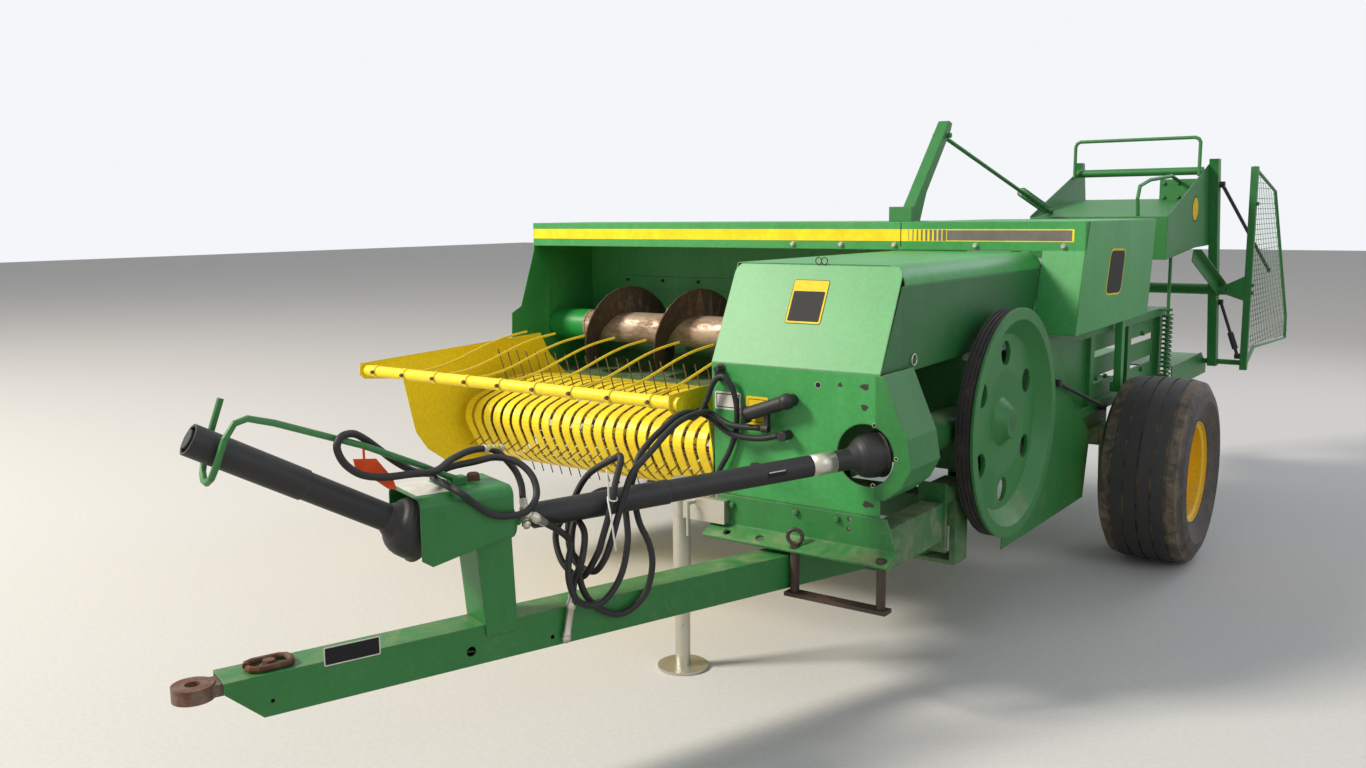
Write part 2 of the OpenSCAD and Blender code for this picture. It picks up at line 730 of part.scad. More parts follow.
module stripper_bands() {
    // Centre of one band's sheet as (y, z), from the rear deck over the nose to the rear carrier
    nose = curve([[760, 735], [560, 772], [330, 786], [150, 744], [60, 714], [27, 661], [43, 602],
        [101, 512], [180, 458], [330, 424],
        [500, 470], [600, 548]], 3);
    skin = 3;
    color(yellow) {
        for (i = [0:band_count - 1])
            translate([pickup_right + i * band_pitch, 0, 0]) rotate([90, 0, 90])
                linear_extrude(band_pitch - band_gap) polygon(concat(aside(nose, skin / 2),
                [for (p = [len(nose) - 1:-1:0]) aside(nose, -skin / 2)[p]]));
        // Rear carriers that the bands bolt to
        block([right_end + end_t + seat_gap, 594, 545], [pickup_left - seat_gap, 619, 552]);
        block([right_end + end_t + seat_gap, 735, 700], [pickup_left - seat_gap, 755, 734]);
    }
}

module tine_reel() {
    color(steel) {
        disc_x(right_end - 6, reel[0], reel[1], reel_shaft_r, pickup_left + end_t + 6 - right_end + 6);
        for (k = [0:tine_bars - 1]) {
            a = k * 360 / tine_bars + 20;
            by = reel[0] + bar_circle * cos(a);
            bz = reel[1] + bar_circle * sin(a);
            disc_x(pickup_right - 30, by, bz, 12, pickup_left - pickup_right + 10);
            for (i = [1:band_count - 1]) {
                x = pickup_right + i * band_pitch - band_gap / 2;
                bar([x, by, bz], [x, reel[0] + tine_r * cos(a), reel[1] + tine_r * sin(a)], tine_d / 2,
                    $fn = 6);
            }
        }
        for (x = [pickup_right - 36, pickup_left - 26]) disc_x(x, reel[0], reel[1], bar_circle + 18, 6);
    }
}

module windguard() {
    rods = 9;
    rod_pitch = 166;
    // One rod as (y, z), from under the pipe to its free tip over the deck
    rod = curve([[guard_pipe[0], guard_pipe[1] - 8], [-330, 874], [-200, 868], [-80, 880], [20, 903],
        [110, 927], [190, 946], [285, 962], [401, 972]], 2);
    color(yellow) {
        disc_x(right_end - 8, guard_pipe[0], guard_pipe[1], guard_pipe_r, pickup_left - right_end + 34);
        for (i = [0:rods - 1])
            let (x = pickup_right + 10 + i * rod_pitch)
                bent_bar([for (p = rod) [x, p[0], p[1]]], 5);
    }
}

// Tongue
module tongue() {
    half = tongue_h / 2;
    nose = hitch_reach - 56;
    wall = 6;
    color(green) on_tongue() difference() {
        translate([0, tongue_w / 2, 0]) rotate([90, 0, 0]) linear_extrude(tongue_w)
            polygon([[-70, tongue_z - half],
            [nose - 82, tongue_z - half], [nose, tongue_z + 23], [nose, tongue_z + half],
                [-70, tongue_z + half]]);
        translate([-71, wall - tongue_w / 2, tongue_z - half + wall])
            cube([nose + 90, tongue_w - 2 * wall, tongue_h - 2 * wall]);
        translate([0, 0, 200]) cylinder(r = swing_pin_r + run_gap, h = 400, $fn = 48);
        // Cross holes
        for (h = [[2151, 395, 5], [1661, 398, 13], [1430, 385, 6]]) translate([h[0], 100, h[1]])
            rotate([90, 0, 0]) cylinder(r = h[2], h = 200, $fn = 24);
    }
}

clip_bolt_u = hitch_reach - 168;

module hitch() {
    plate_t = 28;
    low = tongue_z + tongue_h / 2 - 6 - plate_t - seat_gap;
    color(steel) on_tongue() difference() {
        union() {
            translate([hitch_reach - 260, -30, low]) cube([230, 60, plate_t]);
            translate([hitch_reach, 0, low - 3]) cylinder(r = eye_r, h = plate_t + 6, $fn = 64);
        }
        translate([hitch_reach, 0, 0]) cylinder(r = hitch_hole_r, h = 1000, $fn = 48);
    }
    // Bolt through the tongue's top, with its washer
    color(steel) on_tongue() translate([clip_bolt_u, 0, tongue_z + tongue_h / 2]) {
        cylinder(r = 22, h = 4);
        translate([0, 0, 3.9]) cylinder(r = 15, h = 12, $fn = 6);
    }
}

cover_u = [1556, 1800];
cover_half = 102;
cover_top = 820;
cover_t = 4;
bearing_z = 706;
front_joint = [1742, 0, bearing_z];
shaft_r = 18;

module pedestal() {
    half = tongue_w / 2;
    deck = tongue_z + tongue_h / 2;
    color(green) on_tongue() difference() {
        union() {
            // Leaning post, welded over the tongue's two sides
            translate([0, half + 6, 0]) rotate([90, 0, 0]) linear_extrude(tongue_w + 12)
                polygon([[1533, 430], [1619, 430],
                [1650, 760], [1546, 760]]);
            // Bearing housing of the driveline
            translate([1520, 0, bearing_z]) rotate([0, 90, 0]) cylinder(r = 46, h = 170, $fn = 48);
            translate([1494, 0, bearing_z]) rotate([0, 90, 0])
                cylinder(r = shaft_r, h = front_joint[0] + 16 - 1494);
            // Saddle under the cover's top
            translate([1560, -60, 740]) cube([90, 120, cover_top - cover_t - seat_gap - 740]);
        }
        translate([1400, -half, 300]) cube([400, tongue_w, deck - 300]);
        translate([1500, 6 - half, deck + 20]) cube([90, tongue_w - 12, 160]);
        translate(front_joint - [0, 30, 0]) rotate([-90, 0, 0])
            cylinder(r = cross_pin_r + run_gap, h = 60);
    }
}

module pedestal_cover() {
    r = 26;
    t = cover_t;
    color(green) on_tongue() difference() {
        translate([cover_u[0], 0, 0]) rotate([90, 0, 90]) linear_extrude(cover_u[1] - cover_u[0])
            difference() {
            union() {
                translate([-cover_half, 640]) square([2 * cover_half, cover_top - r - 640]);
                translate([r - cover_half, cover_top - r - 1]) square([2 * (cover_half - r), r + 1]);
                for (v = [r - cover_half, cover_half - r]) translate([v, cover_top - r])
                    circle(r = r, $fn = 48);
            }
            translate([t - cover_half, 600]) square([2 * (cover_half - t), cover_top - r - 600]);
            translate([r - cover_half, cover_top - r - 20]) square([2 * (cover_half - r), r + 20 - t]);
            for (v = [r - cover_half, cover_half - r]) translate([v, cover_top - r])
                circle(r = r - t, $fn = 48);
        }
        // Slanted lower edge with a cropped front corner
        translate([0, 200, 0]) rotate([90, 0, 0]) linear_extrude(400)
            polygon([[cover_u[0] - 10, 600], [cover_u[0] - 10, 696],
            [cover_u[0] + 30, 692], [cover_u[1] - 26, 652], [cover_u[1] + 10, 676],
                [cover_u[1] + 10, 600]]);
    }
}

// Driveline: bells, guard tubes and the telescoping part
drive_out = from_tongue([1480, 0, bearing_z]);

// Ball-shaped bell, as (radius, distance) points from its rim to the guard tube's throat
function bell_out(ball, throat) = [[ball - 4, -20], [ball + 3, -20], [ball + 3, -14], [ball, -10],
    [ball, 8],
    for (a = [15:15:75]) [throat + 5 + (ball - throat - 5) * cos(a), 8 + 56 * sin(a)], [throat, 84]];
function bell_in(ball, hub) = [[hub, 54], for (a = [75:-25:0]) [hub + 4 + (ball - hub - 12) * cos(a),
    48 * sin(a)], [ball - 8, -12]];

// Turns a profile about the line from p towards q
module turned_on(p, q) {
    d = unit(q - p);
    translate(p) rotate([0, acos(d[2]), atan2(d[1], d[0])]) rotate_extrude($fn = 48) children();
}

drive_way = unit(drive_out - drive_in);
drive_far = norm(drive_out - drive_in);
rear_ball = 66;
rear_tube_end = 900;

module driveline_rear() {
    hub = 18;
    color(black) difference() {
        turned_on(drive_in, drive_out) polygon(concat(bell_out(rear_ball, rear_tube_r),
            [[rear_tube_r, rear_tube_end],
            [0, rear_tube_end], [0, -18], [hub, -18]], bell_in(rear_ball, hub)));
        translate(drive_in - [0, 0, 40]) cylinder(r = cross_pin_r + run_gap, h = 80);
    }
}

module driveline_slide() {
    open_gap = 14;
    sleeve_r = rear_tube_r + 3;
    bore = rear_tube_r + run_gap;
    far = drive_far - open_gap;
    color(black) turned_on(drive_in, drive_out) polygon([[bore, 640], [sleeve_r, 640],
        [sleeve_r, far - 10], [sleeve_r - 9, far], [0, far],
        [0, far - 16], [bore, far - 16]]);
}

front_tip = [2281, 0, 1009];

module driveline_front() {
    ball = 76;
    fork = 21;
    far = norm(front_tip - front_joint);
    bore = front_tube_r - 6;
    d = unit(front_tip - front_joint);
    color(black) on_tongue() {
        translate(38 * d) turned_on(front_joint, front_tip) polygon(concat(bell_out(ball,
            front_tube_r - 3), [[front_tube_r - 3, 300],
            [front_tube_r, 302], [front_tube_r, far - 38], [bore, far - 38], [bore, far - 90],
                [22, far - 90], [22, far - 34], [0, far - 34],
            [0, 30], [16, 30]], bell_in(ball, 16)));
        for (v = [-fork - 8, fork]) translate([0, v, 0]) hull() {
            translate(front_joint) rotate([-90, 0, 0]) cylinder(r = 14, h = 8);
            translate(front_joint + 92 * d) rotate([-90, 0, 0]) cylinder(r = 10, h = 8);
        }
        translate(front_joint - [0, fork + 8, 0]) rotate([-90, 0, 0])
            cylinder(r = cross_pin_r, h = 2 * fork + 16);
    }
}

module parking_hook() {
    color(green) on_tongue() {
        bent_bar([[1652, 0, cover_top + 10], [1700, 8, 852], [1760, 40, 885], [1910, 54, 957],
            [2112, 54, 1034], [2168, 54, 1050], [2196, 54, 1042], [2218, 54, 1010],
            [2240, 52, 950], [2248, 40, 924], [2252, 14, 910], [2252, -14, 910], [2248, -40, 924],
                [2240, -54, 950], [2222, -54, 1010], [2196, -54, 1084]], 8, [0.2, 0.1, 1]);
        translate([1640, -16, cover_top]) cube([40, 32, 20]);
    }
}

// Plastic flag with a ring that hangs on the parked hook's rod
module marker_flag() {
    flag = [[1936, 928], [1881, 922], [1843, 870], [1834, 841], [1856, 846], [1902, 884], [1931, 902]];
    color([0.95, 0.25, 0.05]) on_tongue() {
        translate([0, 47.5, 0]) rotate([90, 0, 0]) linear_extrude(3) polygon(flag);
        translate([1910, 46, 925]) cylinder(r = 3, h = 24);
    }
}

// Safety chain loop bolted on the tongue's nose
module hitch_clip() {
    deck = tongue_z + tongue_h / 2;
    near = clip_bolt_u - 50;
    far = clip_bolt_u + 50;
    clip = [[far, 8], [far - 4, 22], [far - 20, 30.4], [near + 20, 30.4], [near + 4, 22], [near, 0],
        [near + 4, -22], [near + 20, -30.4],
        [far - 20, -30.4], [far - 4, -22], [far, -8]];
    color(steel) on_tongue() {
        bent_bar([for (p = clip) [p[0], p[1], deck + 8 + seat_gap]], 8, [0, 0, 1]);
    }
}

// Hoses, as centre lines of hand-chosen points in the tongue's frame
hose_r = 9;
supply_route = [
    [640, -59, 836], [684, -158, 838], [703, -236, 867], [819, -150, 886], [937, -60, 892],
    [1042, 25, 882], [1126, 80, 855], [1184, 108, 830], [1222, 122, 807], [1245, 122, 756],
    [1264, 118, 697], [1281, 112, 637], [1295, 96, 581], [1306, 52, 540], [1322, -22, 560],
    [1318, -54, 640], [1296, -56, 716], [1268, -24, 786], [1244, 60, 838], [1243, 104, 852],
    [1268, 114, 785], [1286, 112, 711], [1304, 106, 647], [1316, 92, 595], [1339, 49, 530],
    [1358, -20, 560], [1354, -58, 630], [1338, -10, 689], [1334, 60, 659], [1363, 97, 593],
    [1373, 76, 542], [1379, 73, 501]];
return_route = [
    [620, 0, 820], [644, -71, 803], [684, -158, 810], [684, -272, 846], [796, -196, 884],
        [916, -100, 901],
    [1014, -30, 887], [1089, 10, 861], [1134, 20, 824], [1150, 22, 779], [1160, 20, 740], [1150, 24, 690],
    [1143, 36, 640], [1124, 52, 583], [1123, 64, 525], [1145, 66, 457], [1190, 66, 419], [1240, 66, 411],
    [1289, 66, 434], [1328, 66, 472], [1351, 67, 521], [1353, 57, 578], [1352, 24, 600], [1330, -2, 662],
    [1290, -16, 712], [1232, -8, 740], [1190, 18, 720], [1190, 46, 638], [1203, 62, 588], [1231, 84, 538],
    [1261, 88, 494], [1302, 88, 462], [1346, 90, 465], [1382, 94, 492], [1400, 93, 542], [1394, 81, 592],
    [1374, 60, 633], [1407, 66, 670], [1451, 68, 700]];
loop_route = [
    [1700, -58, 832], [1709, 112, 832], [1669, 112, 796], [1621, 114, 760], [1572, 114, 749],
    [1521, 104, 751], [1481, 80, 780], [1476, 50, 824], [1500, 15, 858], [1543, -20, 870],
    [1598, -30, 864], [1655, -35, 859], [1711, -30, 850], [1770, -4, 868], [1819, 4, 900],
        [1863, 22, 937],
    [1899, 36, 967], [1935, 55, 989], [1970, 75, 989], [1983, 80, 965], [1967, 80, 927], [1929, 78, 896],
    [1875, 70, 881], [1811, 75, 880], [1738, 53, 874], [1669, -8, 883], [1593, -50, 890],
        [1528, -60, 880],
    [1487, -40, 835], [1479, -10, 796], [1489, 20, 759]];

// Short hose that arches over a clamp on the front panel, in the machine's frame
arch_y = -385;
arch_route = [[52, -300, 866], [30, -345, 852], [36, arch_y, 846], [66, arch_y - 4, 848],
    [92, arch_y - 4, 872], [110, arch_y, 908], [131, arch_y, 956], [152, arch_y, 980],
    [176, arch_y, 982], [198, -377, 950], [209, -371, 905], [211, -370, 868], [207, -370, 812],
    [184, -372, 748], [152, -376, 690], [132, -380, 640]];

module hose_arch() {
    color(black) bent_bar(arch_route, hose_r, [0.97, 0.05, 0.2]);
}

// Swing cylinder's head with its ports, on the front panel
port_y = box_front - 38;

module panel_ports() {
    head_r = 21;
    elbow_r = 25;
    low = [262, port_y, 876];
    high = [402, port_y, 927];
    color(black) {
        bar(low, high, head_r);
        translate(high) sphere(r = elbow_r);
        translate(high) rotate([-90, 0, 0]) cylinder(r = head_r - 2, h = box_front - seat_gap - port_y);
    }
    color(zinc) {
        bar(low - 8 * unit(high - low), low, head_r + 6);
        translate(low - 22 * unit(high - low)) rotate([0, 70, 20]) cylinder(r = 11, h = 16, $fn = 6);
        // Fittings that the two long hoses leave
        translate([312, arch_y, 836]) rotate([0, 90, 0]) cylinder(r = 12, h = 24, $fn = 24);
        block([322, arch_y - 8, 836], [336, arch_y + 8, 890]);
        translate([388, box_front - seat_gap, 820]) rotate([90, 0, 0]) cylinder(r = 15, h = 42, $fn = 24);
        // Clamp bolt of the arched hose
        translate([143, box_front - seat_gap, 1004]) rotate([90, 0, 0]) cylinder(r = 11, h = 30, $fn = 6);
        translate([143, box_front - seat_gap, 1004]) rotate([90, 0, 0]) cylinder(r = 16, h = 4);
        block([132, arch_y + hose_r + 0.2, 968], [156, box_front - seat_gap, 996]);
    }
}

module hose(route) {
    color(black) bent_bar([for (p = route) from_tongue(p)], hose_r, [0.11, 0.23, 0.97]);
}

module hose_supply() {
    hose(supply_route);
}

// Quick couplers on the hoses' free ends: a hex nut, a sleeve and a nose, turned about the hose's last run
module coupler(route, long) {
    last = len(route) - 1;
    p = from_tongue(route[last]);
    q = from_tongue(route[last - 1]);
    color(zinc) turned_on(p, p + (p - q)) polygon([[0, seat_gap], [hose_r + 1, seat_gap],
        [hose_r + 1, 26], [13, 28], [13, 44], [10, 46],
        [10, long - 30], [12, long - 28], [12, long - 8], [8, long - 6], [8, long], [0, long]]);
}

module hose_couplers() {
    coupler(supply_route, 136);
    coupler(return_route, 84);
    coupler(loop_route, 82);
}

module hose_return() {
    hose(return_route);
}

module hose_loops() {
    hose(loop_route);
}

// Jack
jack = [-9, -363];

module jack_tube() {
    top = 640;
    color(zinc) {
        translate([jack[0], jack[1], 310]) difference() {
            cylinder(r = jack_r, h = top - 310, $fn = 48);
            translate([0, 0, -1]) cylinder(r = jack_r - 4, h = top - 310 - 9, $fn = 48);
        }
        // Cast mount to the front sill
        block([jack[0] + jack_r - 4, jack[1] - 26, 515], [175, box_front - 8 - seat_gap, 590]);
        block([jack[0] + jack_r - 4, jack[1] - 26, 515], [100, jack[1] + 22, 590]);
        translate([60, jack[1] - 60, 470]) cylinder(r = 6, h = 110, $fn = 24);
        translate([60, jack[1] + 10, 574]) rotate([90, 0, 0]) cylinder(r = 6, h = 70, $fn = 24);
    }
}

module jack_leg() {
    color(zinc) {
        translate([jack[0], jack[1], 0]) cylinder(r = jack_r - 4 - run_gap, h = jack_travel + 18, $fn = 48);
        translate([jack[0], jack[1], 0]) cylinder(r = 84, h = 8, $fn = 48);
    }
}

// Feeder arm on the hood and its spring rod
rod_r = 9;
lever_pin_r = 11;
rod_front = [80, 1440, 1800];
rod_rear = [200, 2500, 1470];

module feeder_lever() {
    eye = [rod_front[1], rod_front[2]];
    crown = eye + [12, 62];
    foot = [1176, hood_top + 2];
    elbow = foot + [0.2235 * (eye[0] - foot[0]), 0.324 * (eye[1] - foot[1])];
    flange = [[1064, foot[1]], foot, elbow, eye + [30, 22], eye + [44, 52], crown];
    web = [[1064, hood_top + 2], [1070, hood_top + 2], crown + [5, -5], crown];
    color(green) {
        for (x = [56, 100]) plate_x(flange, x, 5);
        plate_x(web, 61, 39);
        // Foot bracket on the roof
        block([30, 1040, hood_top], [130, 1060, hood_top + 60]);
        block([30, 1040, hood_top], [130, 1200, hood_top + 2]);
        disc_x(40, rod_front[1], rod_front[2], lever_pin_r, 80);
    }
}

module feeder_rod() {
    d = unit(rod_rear - rod_front);
    color(green) difference() {
        union() {
            bar(rod_front + 10 * d, rod_rear, rod_r);
            disc_x(rod_front[0] - 16, rod_front[1], rod_front[2], 18, 32);
        }
        disc_x(rod_front[0] - 30, rod_front[1], rod_front[2], lever_pin_r + run_gap, 60);
    }
}

module tension_spring() {
    wire_r = 5;
    color(green) {
        translate([spring_at[0], spring_at[1], spring_low + wire_r * cos(30) + seat_gap])
            bent_bar(coil(22, 290, 13, 8), wire_r, [0, 0, 1], 6);
        translate([spring_at[0], spring_at[1], 640]) cylinder(r = spring_rod_r, h = 620);
    }
}

// Ejector
ej_left = bale_x + ejector_w / 2;
ej_right = bale_x - ejector_w / 2;
plate_t = 4;
mast_lean = 210;
mast_w = 60;
mast_d = 44;

module ejector_housing() {
    color(green) {
        for (x = [ej_right - plate_t, ej_left])
            plate_x([[2370, 1246], [2370, 1450], [3195, 1715], [3275, 1290], [2920, 1285]], x, plate_t);
        // Front wall, deck and the two legs on the bale case
        block([ej_right, 2370, 1246], [ej_left, 2374, 1446]);
        plate_x([[2374, 1436], [3000, 1526], [3000, 1530], [2374, 1440]], ej_right, ejector_w);
        for (x = [case_right, case_left - 40]) block([x, 2374, case_top], [x + 40, 2434, 1400]);
        // Lug at the feeder rod's rear end
        block([rod_rear[0] - 14, rod_rear[1] + 3.5, 1440], [rod_rear[0] + 14, rod_rear[1] + 18,
            rod_rear[2] + 16]);
        // Bolted plate across the deck, and the top cross pipe
        block([600, 2980, 1518], [785, 2988, 1628]);
        disc_x(ej_right, 3050, 1668, 20, ejector_w);
    }
}

// Leaning mast as a channel, open to the rear
module mast(x) {
    top = mast_y - mast_lean;
    difference() {
        plate_x([[top - mast_w / 2, mast_top], [top + mast_w / 2, mast_top],
            [mast_y + mast_w / 2, 640], [mast_y - mast_w / 2, 640]], x, mast_d);
        plate_x([[top - mast_w / 2 + 6, mast_top + 10], [top + mast_w / 2 + 6, mast_top + 10],
            [mast_y + mast_w / 2 + 6, 720],
            [mast_y - mast_w / 2 + 6, 720]], x + 6, mast_d - 12);
    }
}

pan_hinge = [mast_y - 5, 664];
guard_x = 965;
guard_post_y = 3300;

cross_tube = [3300, 1056];
arm_x = ej_left + plate_t + mast_d;

module ejector_mast() {
    color(green) {
        mast(ej_left + plate_t);
        mast(ej_right - plate_t - mast_d);
        // Hollow cross tube, with the gusset that reaches the side guard
        difference() {
            disc_x(ej_right - plate_t - mast_d, cross_tube[0], cross_tube[1], 28, arm_x +
                42 - ej_right + plate_t + mast_d);
            disc_x(ej_right - plate_t - mast_d - 1, cross_tube[0], cross_tube[1], 22, arm_x +
                50 - ej_right + plate_t + mast_d);
        }
        plate_y([[arm_x + 40, 1030], [arm_x + 40, 1082], [guard_x - seat_gap, 1126],
            [guard_x - seat_gap, 1000]], guard_post_y, 6);
        // Hinge shaft of the pan
        disc_x(ej_right - plate_t - mast_d, pan_hinge[0], pan_hinge[1], 14,
            guard_x - seat_gap - ej_right + plate_t + mast_d);
        // Channel arm from the housing down to the cross tube
        plate_x([[2676, 1228], [2704, 1284], [3360, 1076], [3372, 1040], [3312, 1020]], arm_x, 6);
        plate_x([[2704, 1284], [3360, 1076], [3360, 1070], [2704, 1278]], arm_x + 5, 34);
    }
}

// Black tie rods from the left mast to the side guard
module ejector_brace() {
    foot = [950, 3320, 706];
    top = [arm_x + 10, 3352, 985];
    reach = [970, 3960, 1128];
    hang = [arm_x + 12, 3214, 1600];
    color(black) {
        bar(top, foot, 8);
        bar(foot + 40 * unit(top - foot), foot + 130 * unit(top - foot), 15);
        disc_x(arm_x + seat_gap, top[1], top[2], 15, 20);
        disc_x(foot[0] - 14, foot[1], foot[2], 15, guard_x - seat_gap - foot[0] + 14);
        bar(hang, reach, 9);
        disc_x(arm_x + seat_gap, hang[1], hang[2], 16, 24);
        disc_x(reach[0] - 10, reach[1], reach[2], 13, guard_x + 13 - seat_gap - reach[0] + 10);
    }
}

module hoop_rail() {
    rail_r = 9;
    left = ej_left - rail_r - seat_gap;
    right = ej_right + rail_r + seat_gap;
    color(green) bent_bar([[right, 3000, 1640], [right, 3000, 1808], [right + 8, 3000, 1825],
        [right + 25, 3000, 1833], [left - 25, 3000, 1833],
        [left - 8, 3000, 1825], [left, 3000, 1808], [left, 3000, 1640]], rail_r, [0, 1, 0]);
    // Handle on the deck
    color(green) bent_bar([[640, 2440, 1450 + seat_gap], [640, 2424, 1530], [642, 2450, 1588],
        [660, 2560, 1618], [690, 2840, 1640], [700, 2966, 1613]], rail_r, [1, 0, 0]);
}

module ejector_pan() {
    side = [[2716, 700], [3350, 712], [3470, 640], [3470, 590], [3100, 590], [2716, 650]];
    inner = 24;
    color(steel) block([ej_right + inner, 2716, 700], [ej_left - inner, 3340, 706]);
    color(green) for (x = [ej_right + inner, ej_left - inner - 6]) difference() {
        plate_x(side, x, 6);
        disc_x(x - 10, pan_hinge[0], pan_hinge[1], 14 + run_gap, 40);
    }
}

// Side guard: outline of its frame as (y, z)
guard_bar_r = 9;
guard_post_w = 34;
guard_outline = [[guard_post_y + 12, 1684], [3934, 1569], [4548, 829], [guard_rear - 10, 690],
    [3560, 734], [guard_post_y + 80, 662]];

module side_guard() {
    color(green) {
        block([guard_x, guard_post_y, 636], [guard_x + guard_post_w, guard_post_y + guard_post_w, 1690]);
        // Foot plate that takes the pan's hinge shaft
        block([guard_x, guard_post_y, 636], [guard_x + 8, mast_y + 24, 690]);
        bent_bar([for (p = concat(guard_outline, [guard_outline[0] - [0, 1020]])) [guard_x +
            guard_post_w / 2, p[0], p[1]]], guard_bar_r, n = 10);
    }
}

// The space inside the frame's bars, which the mesh fills
module guard_window(gap) {
    intersection() {
        offset(delta = -guard_bar_r - gap) polygon(guard_outline);
        translate([guard_post_y + guard_post_w + gap, 600]) square([1400, 1200]);
    }
}

module guard_mesh() {
    wire = 4;
    color(green) translate([guard_x + 13, 0, 0]) rotate([90, 0, 90]) {
        // Upright wires, then level wires welded across them
        linear_extrude(wire) intersection() {
            guard_window(seat_gap);
            for (y = [guard_post_y + mesh_pitch:mesh_pitch:guard_rear]) translate([y, 600])
                square([wire, 1200]);
        }
        translate([0, 0, wire - 1]) linear_extrude(wire) intersection() {
            guard_window(0.9);
            for (z = [640 + mesh_pitch:mesh_pitch:1700]) translate([guard_post_y, z])
                square([1400, wire]);
        }
    }
}

at_origin() main_frame();
at_origin() front_sill();
at_origin() bale_case();
at_origin() gearcase();
at_origin() axle();
at_origin() tyre_left();
at_origin() rim_left();
at_origin() tyre_right();
at_origin() rim_right();
at_origin() feeder_house();
at_origin() feeder_floor();
at_origin() hood_end_door();
at_origin() auger();
at_origin() auger_flight();
at_origin() box_lower_panel();
at_origin() box_upper_panel();
at_origin() box_top_cover();
at_origin() box_walls();
at_origin() driveline_shield();
at_origin() flywheel();
at_origin() flywheel_belt();
at_origin() flywheel_guard();
at_origin() needle_rod();
at_origin() pickup_ends();
at_origin() stripper_bands();
at_origin() tine_reel();
at_origin() windguard();
at_origin() tongue();
at_origin() hitch();
at_origin() pedestal();
at_origin() pedestal_cover();
at_origin() parking_hook();
at_origin() hose_supply();
at_origin() hose_return();
at_origin() hose_loops();
at_origin() hose_couplers();
at_origin() hose_arch();
at_origin() panel_ports();
at_origin() ejector_brace();
at_origin() marker_flag();
at_origin() hitch_clip();
at_origin() driveline_rear();
at_origin() driveline_slide();
at_origin() driveline_front();
at_origin() tongue_pins();
at_origin() jack_tube();
at_origin() jack_leg();
at_origin() feeder_lever();
at_origin() feeder_rod();
at_origin() tension_spring();
at_origin() ejector_housing();
at_origin() ejector_mast();
at_origin() hoop_rail();
at_origin() ejector_pan();
at_origin() side_guard();
at_origin() guard_mesh();
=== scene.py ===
# %% [markdown]
# # Dressing a small square baler
#
# A square baler picks hay up from the ground, feeds it sideways into a long case and
# ties it into bales. The moving frame of the machine comes ready made, in metres, with
# the ground at z = 0, x towards the machine's left and y towards its rear. This lesson
# adds what the eye looks for: faded paint, rust, dusty rubber, stripes, bolts and hoses.
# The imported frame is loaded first, because every later piece is placed from it.

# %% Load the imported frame
import math

import bmesh
import bpy
from mathutils import Matrix, Vector


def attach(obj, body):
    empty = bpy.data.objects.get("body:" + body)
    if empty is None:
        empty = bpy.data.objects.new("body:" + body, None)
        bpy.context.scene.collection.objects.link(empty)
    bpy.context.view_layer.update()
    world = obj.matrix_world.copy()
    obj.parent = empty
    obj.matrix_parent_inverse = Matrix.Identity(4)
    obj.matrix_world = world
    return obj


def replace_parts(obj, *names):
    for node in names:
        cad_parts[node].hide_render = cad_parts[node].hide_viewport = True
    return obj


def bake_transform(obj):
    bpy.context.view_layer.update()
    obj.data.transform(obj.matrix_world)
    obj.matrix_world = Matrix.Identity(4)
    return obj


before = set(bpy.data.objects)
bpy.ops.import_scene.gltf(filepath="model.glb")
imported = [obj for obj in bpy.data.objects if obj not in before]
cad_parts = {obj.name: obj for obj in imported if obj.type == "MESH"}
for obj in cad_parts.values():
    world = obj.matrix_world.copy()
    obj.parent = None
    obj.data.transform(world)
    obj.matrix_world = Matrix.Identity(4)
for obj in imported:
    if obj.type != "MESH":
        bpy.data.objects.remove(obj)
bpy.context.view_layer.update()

# %% [markdown]
# The drawing of the machine has its own zero, near the front of the bale case. Its sizes
# are in millimetres. Two short functions turn such a place into metres here, one for the
# machine and one for the tongue, which is swung 19.2 degrees to the side. With them, a
# bolt or a label can be placed by the numbers on the drawing.

# %% Places on the machine and on the tongue
DRAWING_ZERO = Vector((0.37625, -1.27624, 0))
TONGUE_PIVOT = Vector((576, 200, 0))
TONGUE_ANGLE = math.radians(-90 - 19.2)


def spot(x, y, z):
    """A place on the machine, from millimetres on the drawing to metres."""
    return Vector((x, y, z)) / 1000 + DRAWING_ZERO


def tongue_spot(u, v, z):
    """A place on the tongue: u runs from its pivot to the hitch, v to its left."""
    turned = Matrix.Rotation(TONGUE_ANGLE, 3, "Z") @ Vector((u, v, z))
    return spot(*(turned + TONGUE_PIVOT))


print("tongue's nose is at", [round(c, 3) for c in tongue_spot(2310, 0, 440)])

# %% [markdown]
# The camera looks from eye height, ahead of the machine and to its left. A look-at helper
# would lose the slight roll of a hand-held shot, so the view is built from its three
# angles: the turn about the upright, the tilt down, and the roll. The three directions
# become the columns of the camera's matrix. The view transform is set to Standard, so that
# a colour shows on the screen as it is written.

# %% Camera
CAMERA_AT = Vector((2.53145, -4.60954, 1.4872))
CAMERA_TURN, CAMERA_TILT, CAMERA_ROLL = 0.6273, 0.1468, -0.0099
LENS, SENSOR = 30.648, 36


def placed(name, data):
    """A new object in the scene, made from its data."""
    made = bpy.data.objects.new(name, data)
    bpy.context.scene.collection.objects.link(made)
    return made


ahead = Vector((
    -math.sin(CAMERA_TURN) * math.cos(CAMERA_TILT),
    math.cos(CAMERA_TURN) * math.cos(CAMERA_TILT),
    -math.sin(CAMERA_TILT),
))
side = ahead.cross(Vector((0, 0, 1))).normalized()
over = side.cross(ahead)
right = math.cos(CAMERA_ROLL) * side + math.sin(CAMERA_ROLL) * over
top = -math.sin(CAMERA_ROLL) * side + math.cos(CAMERA_ROLL) * over

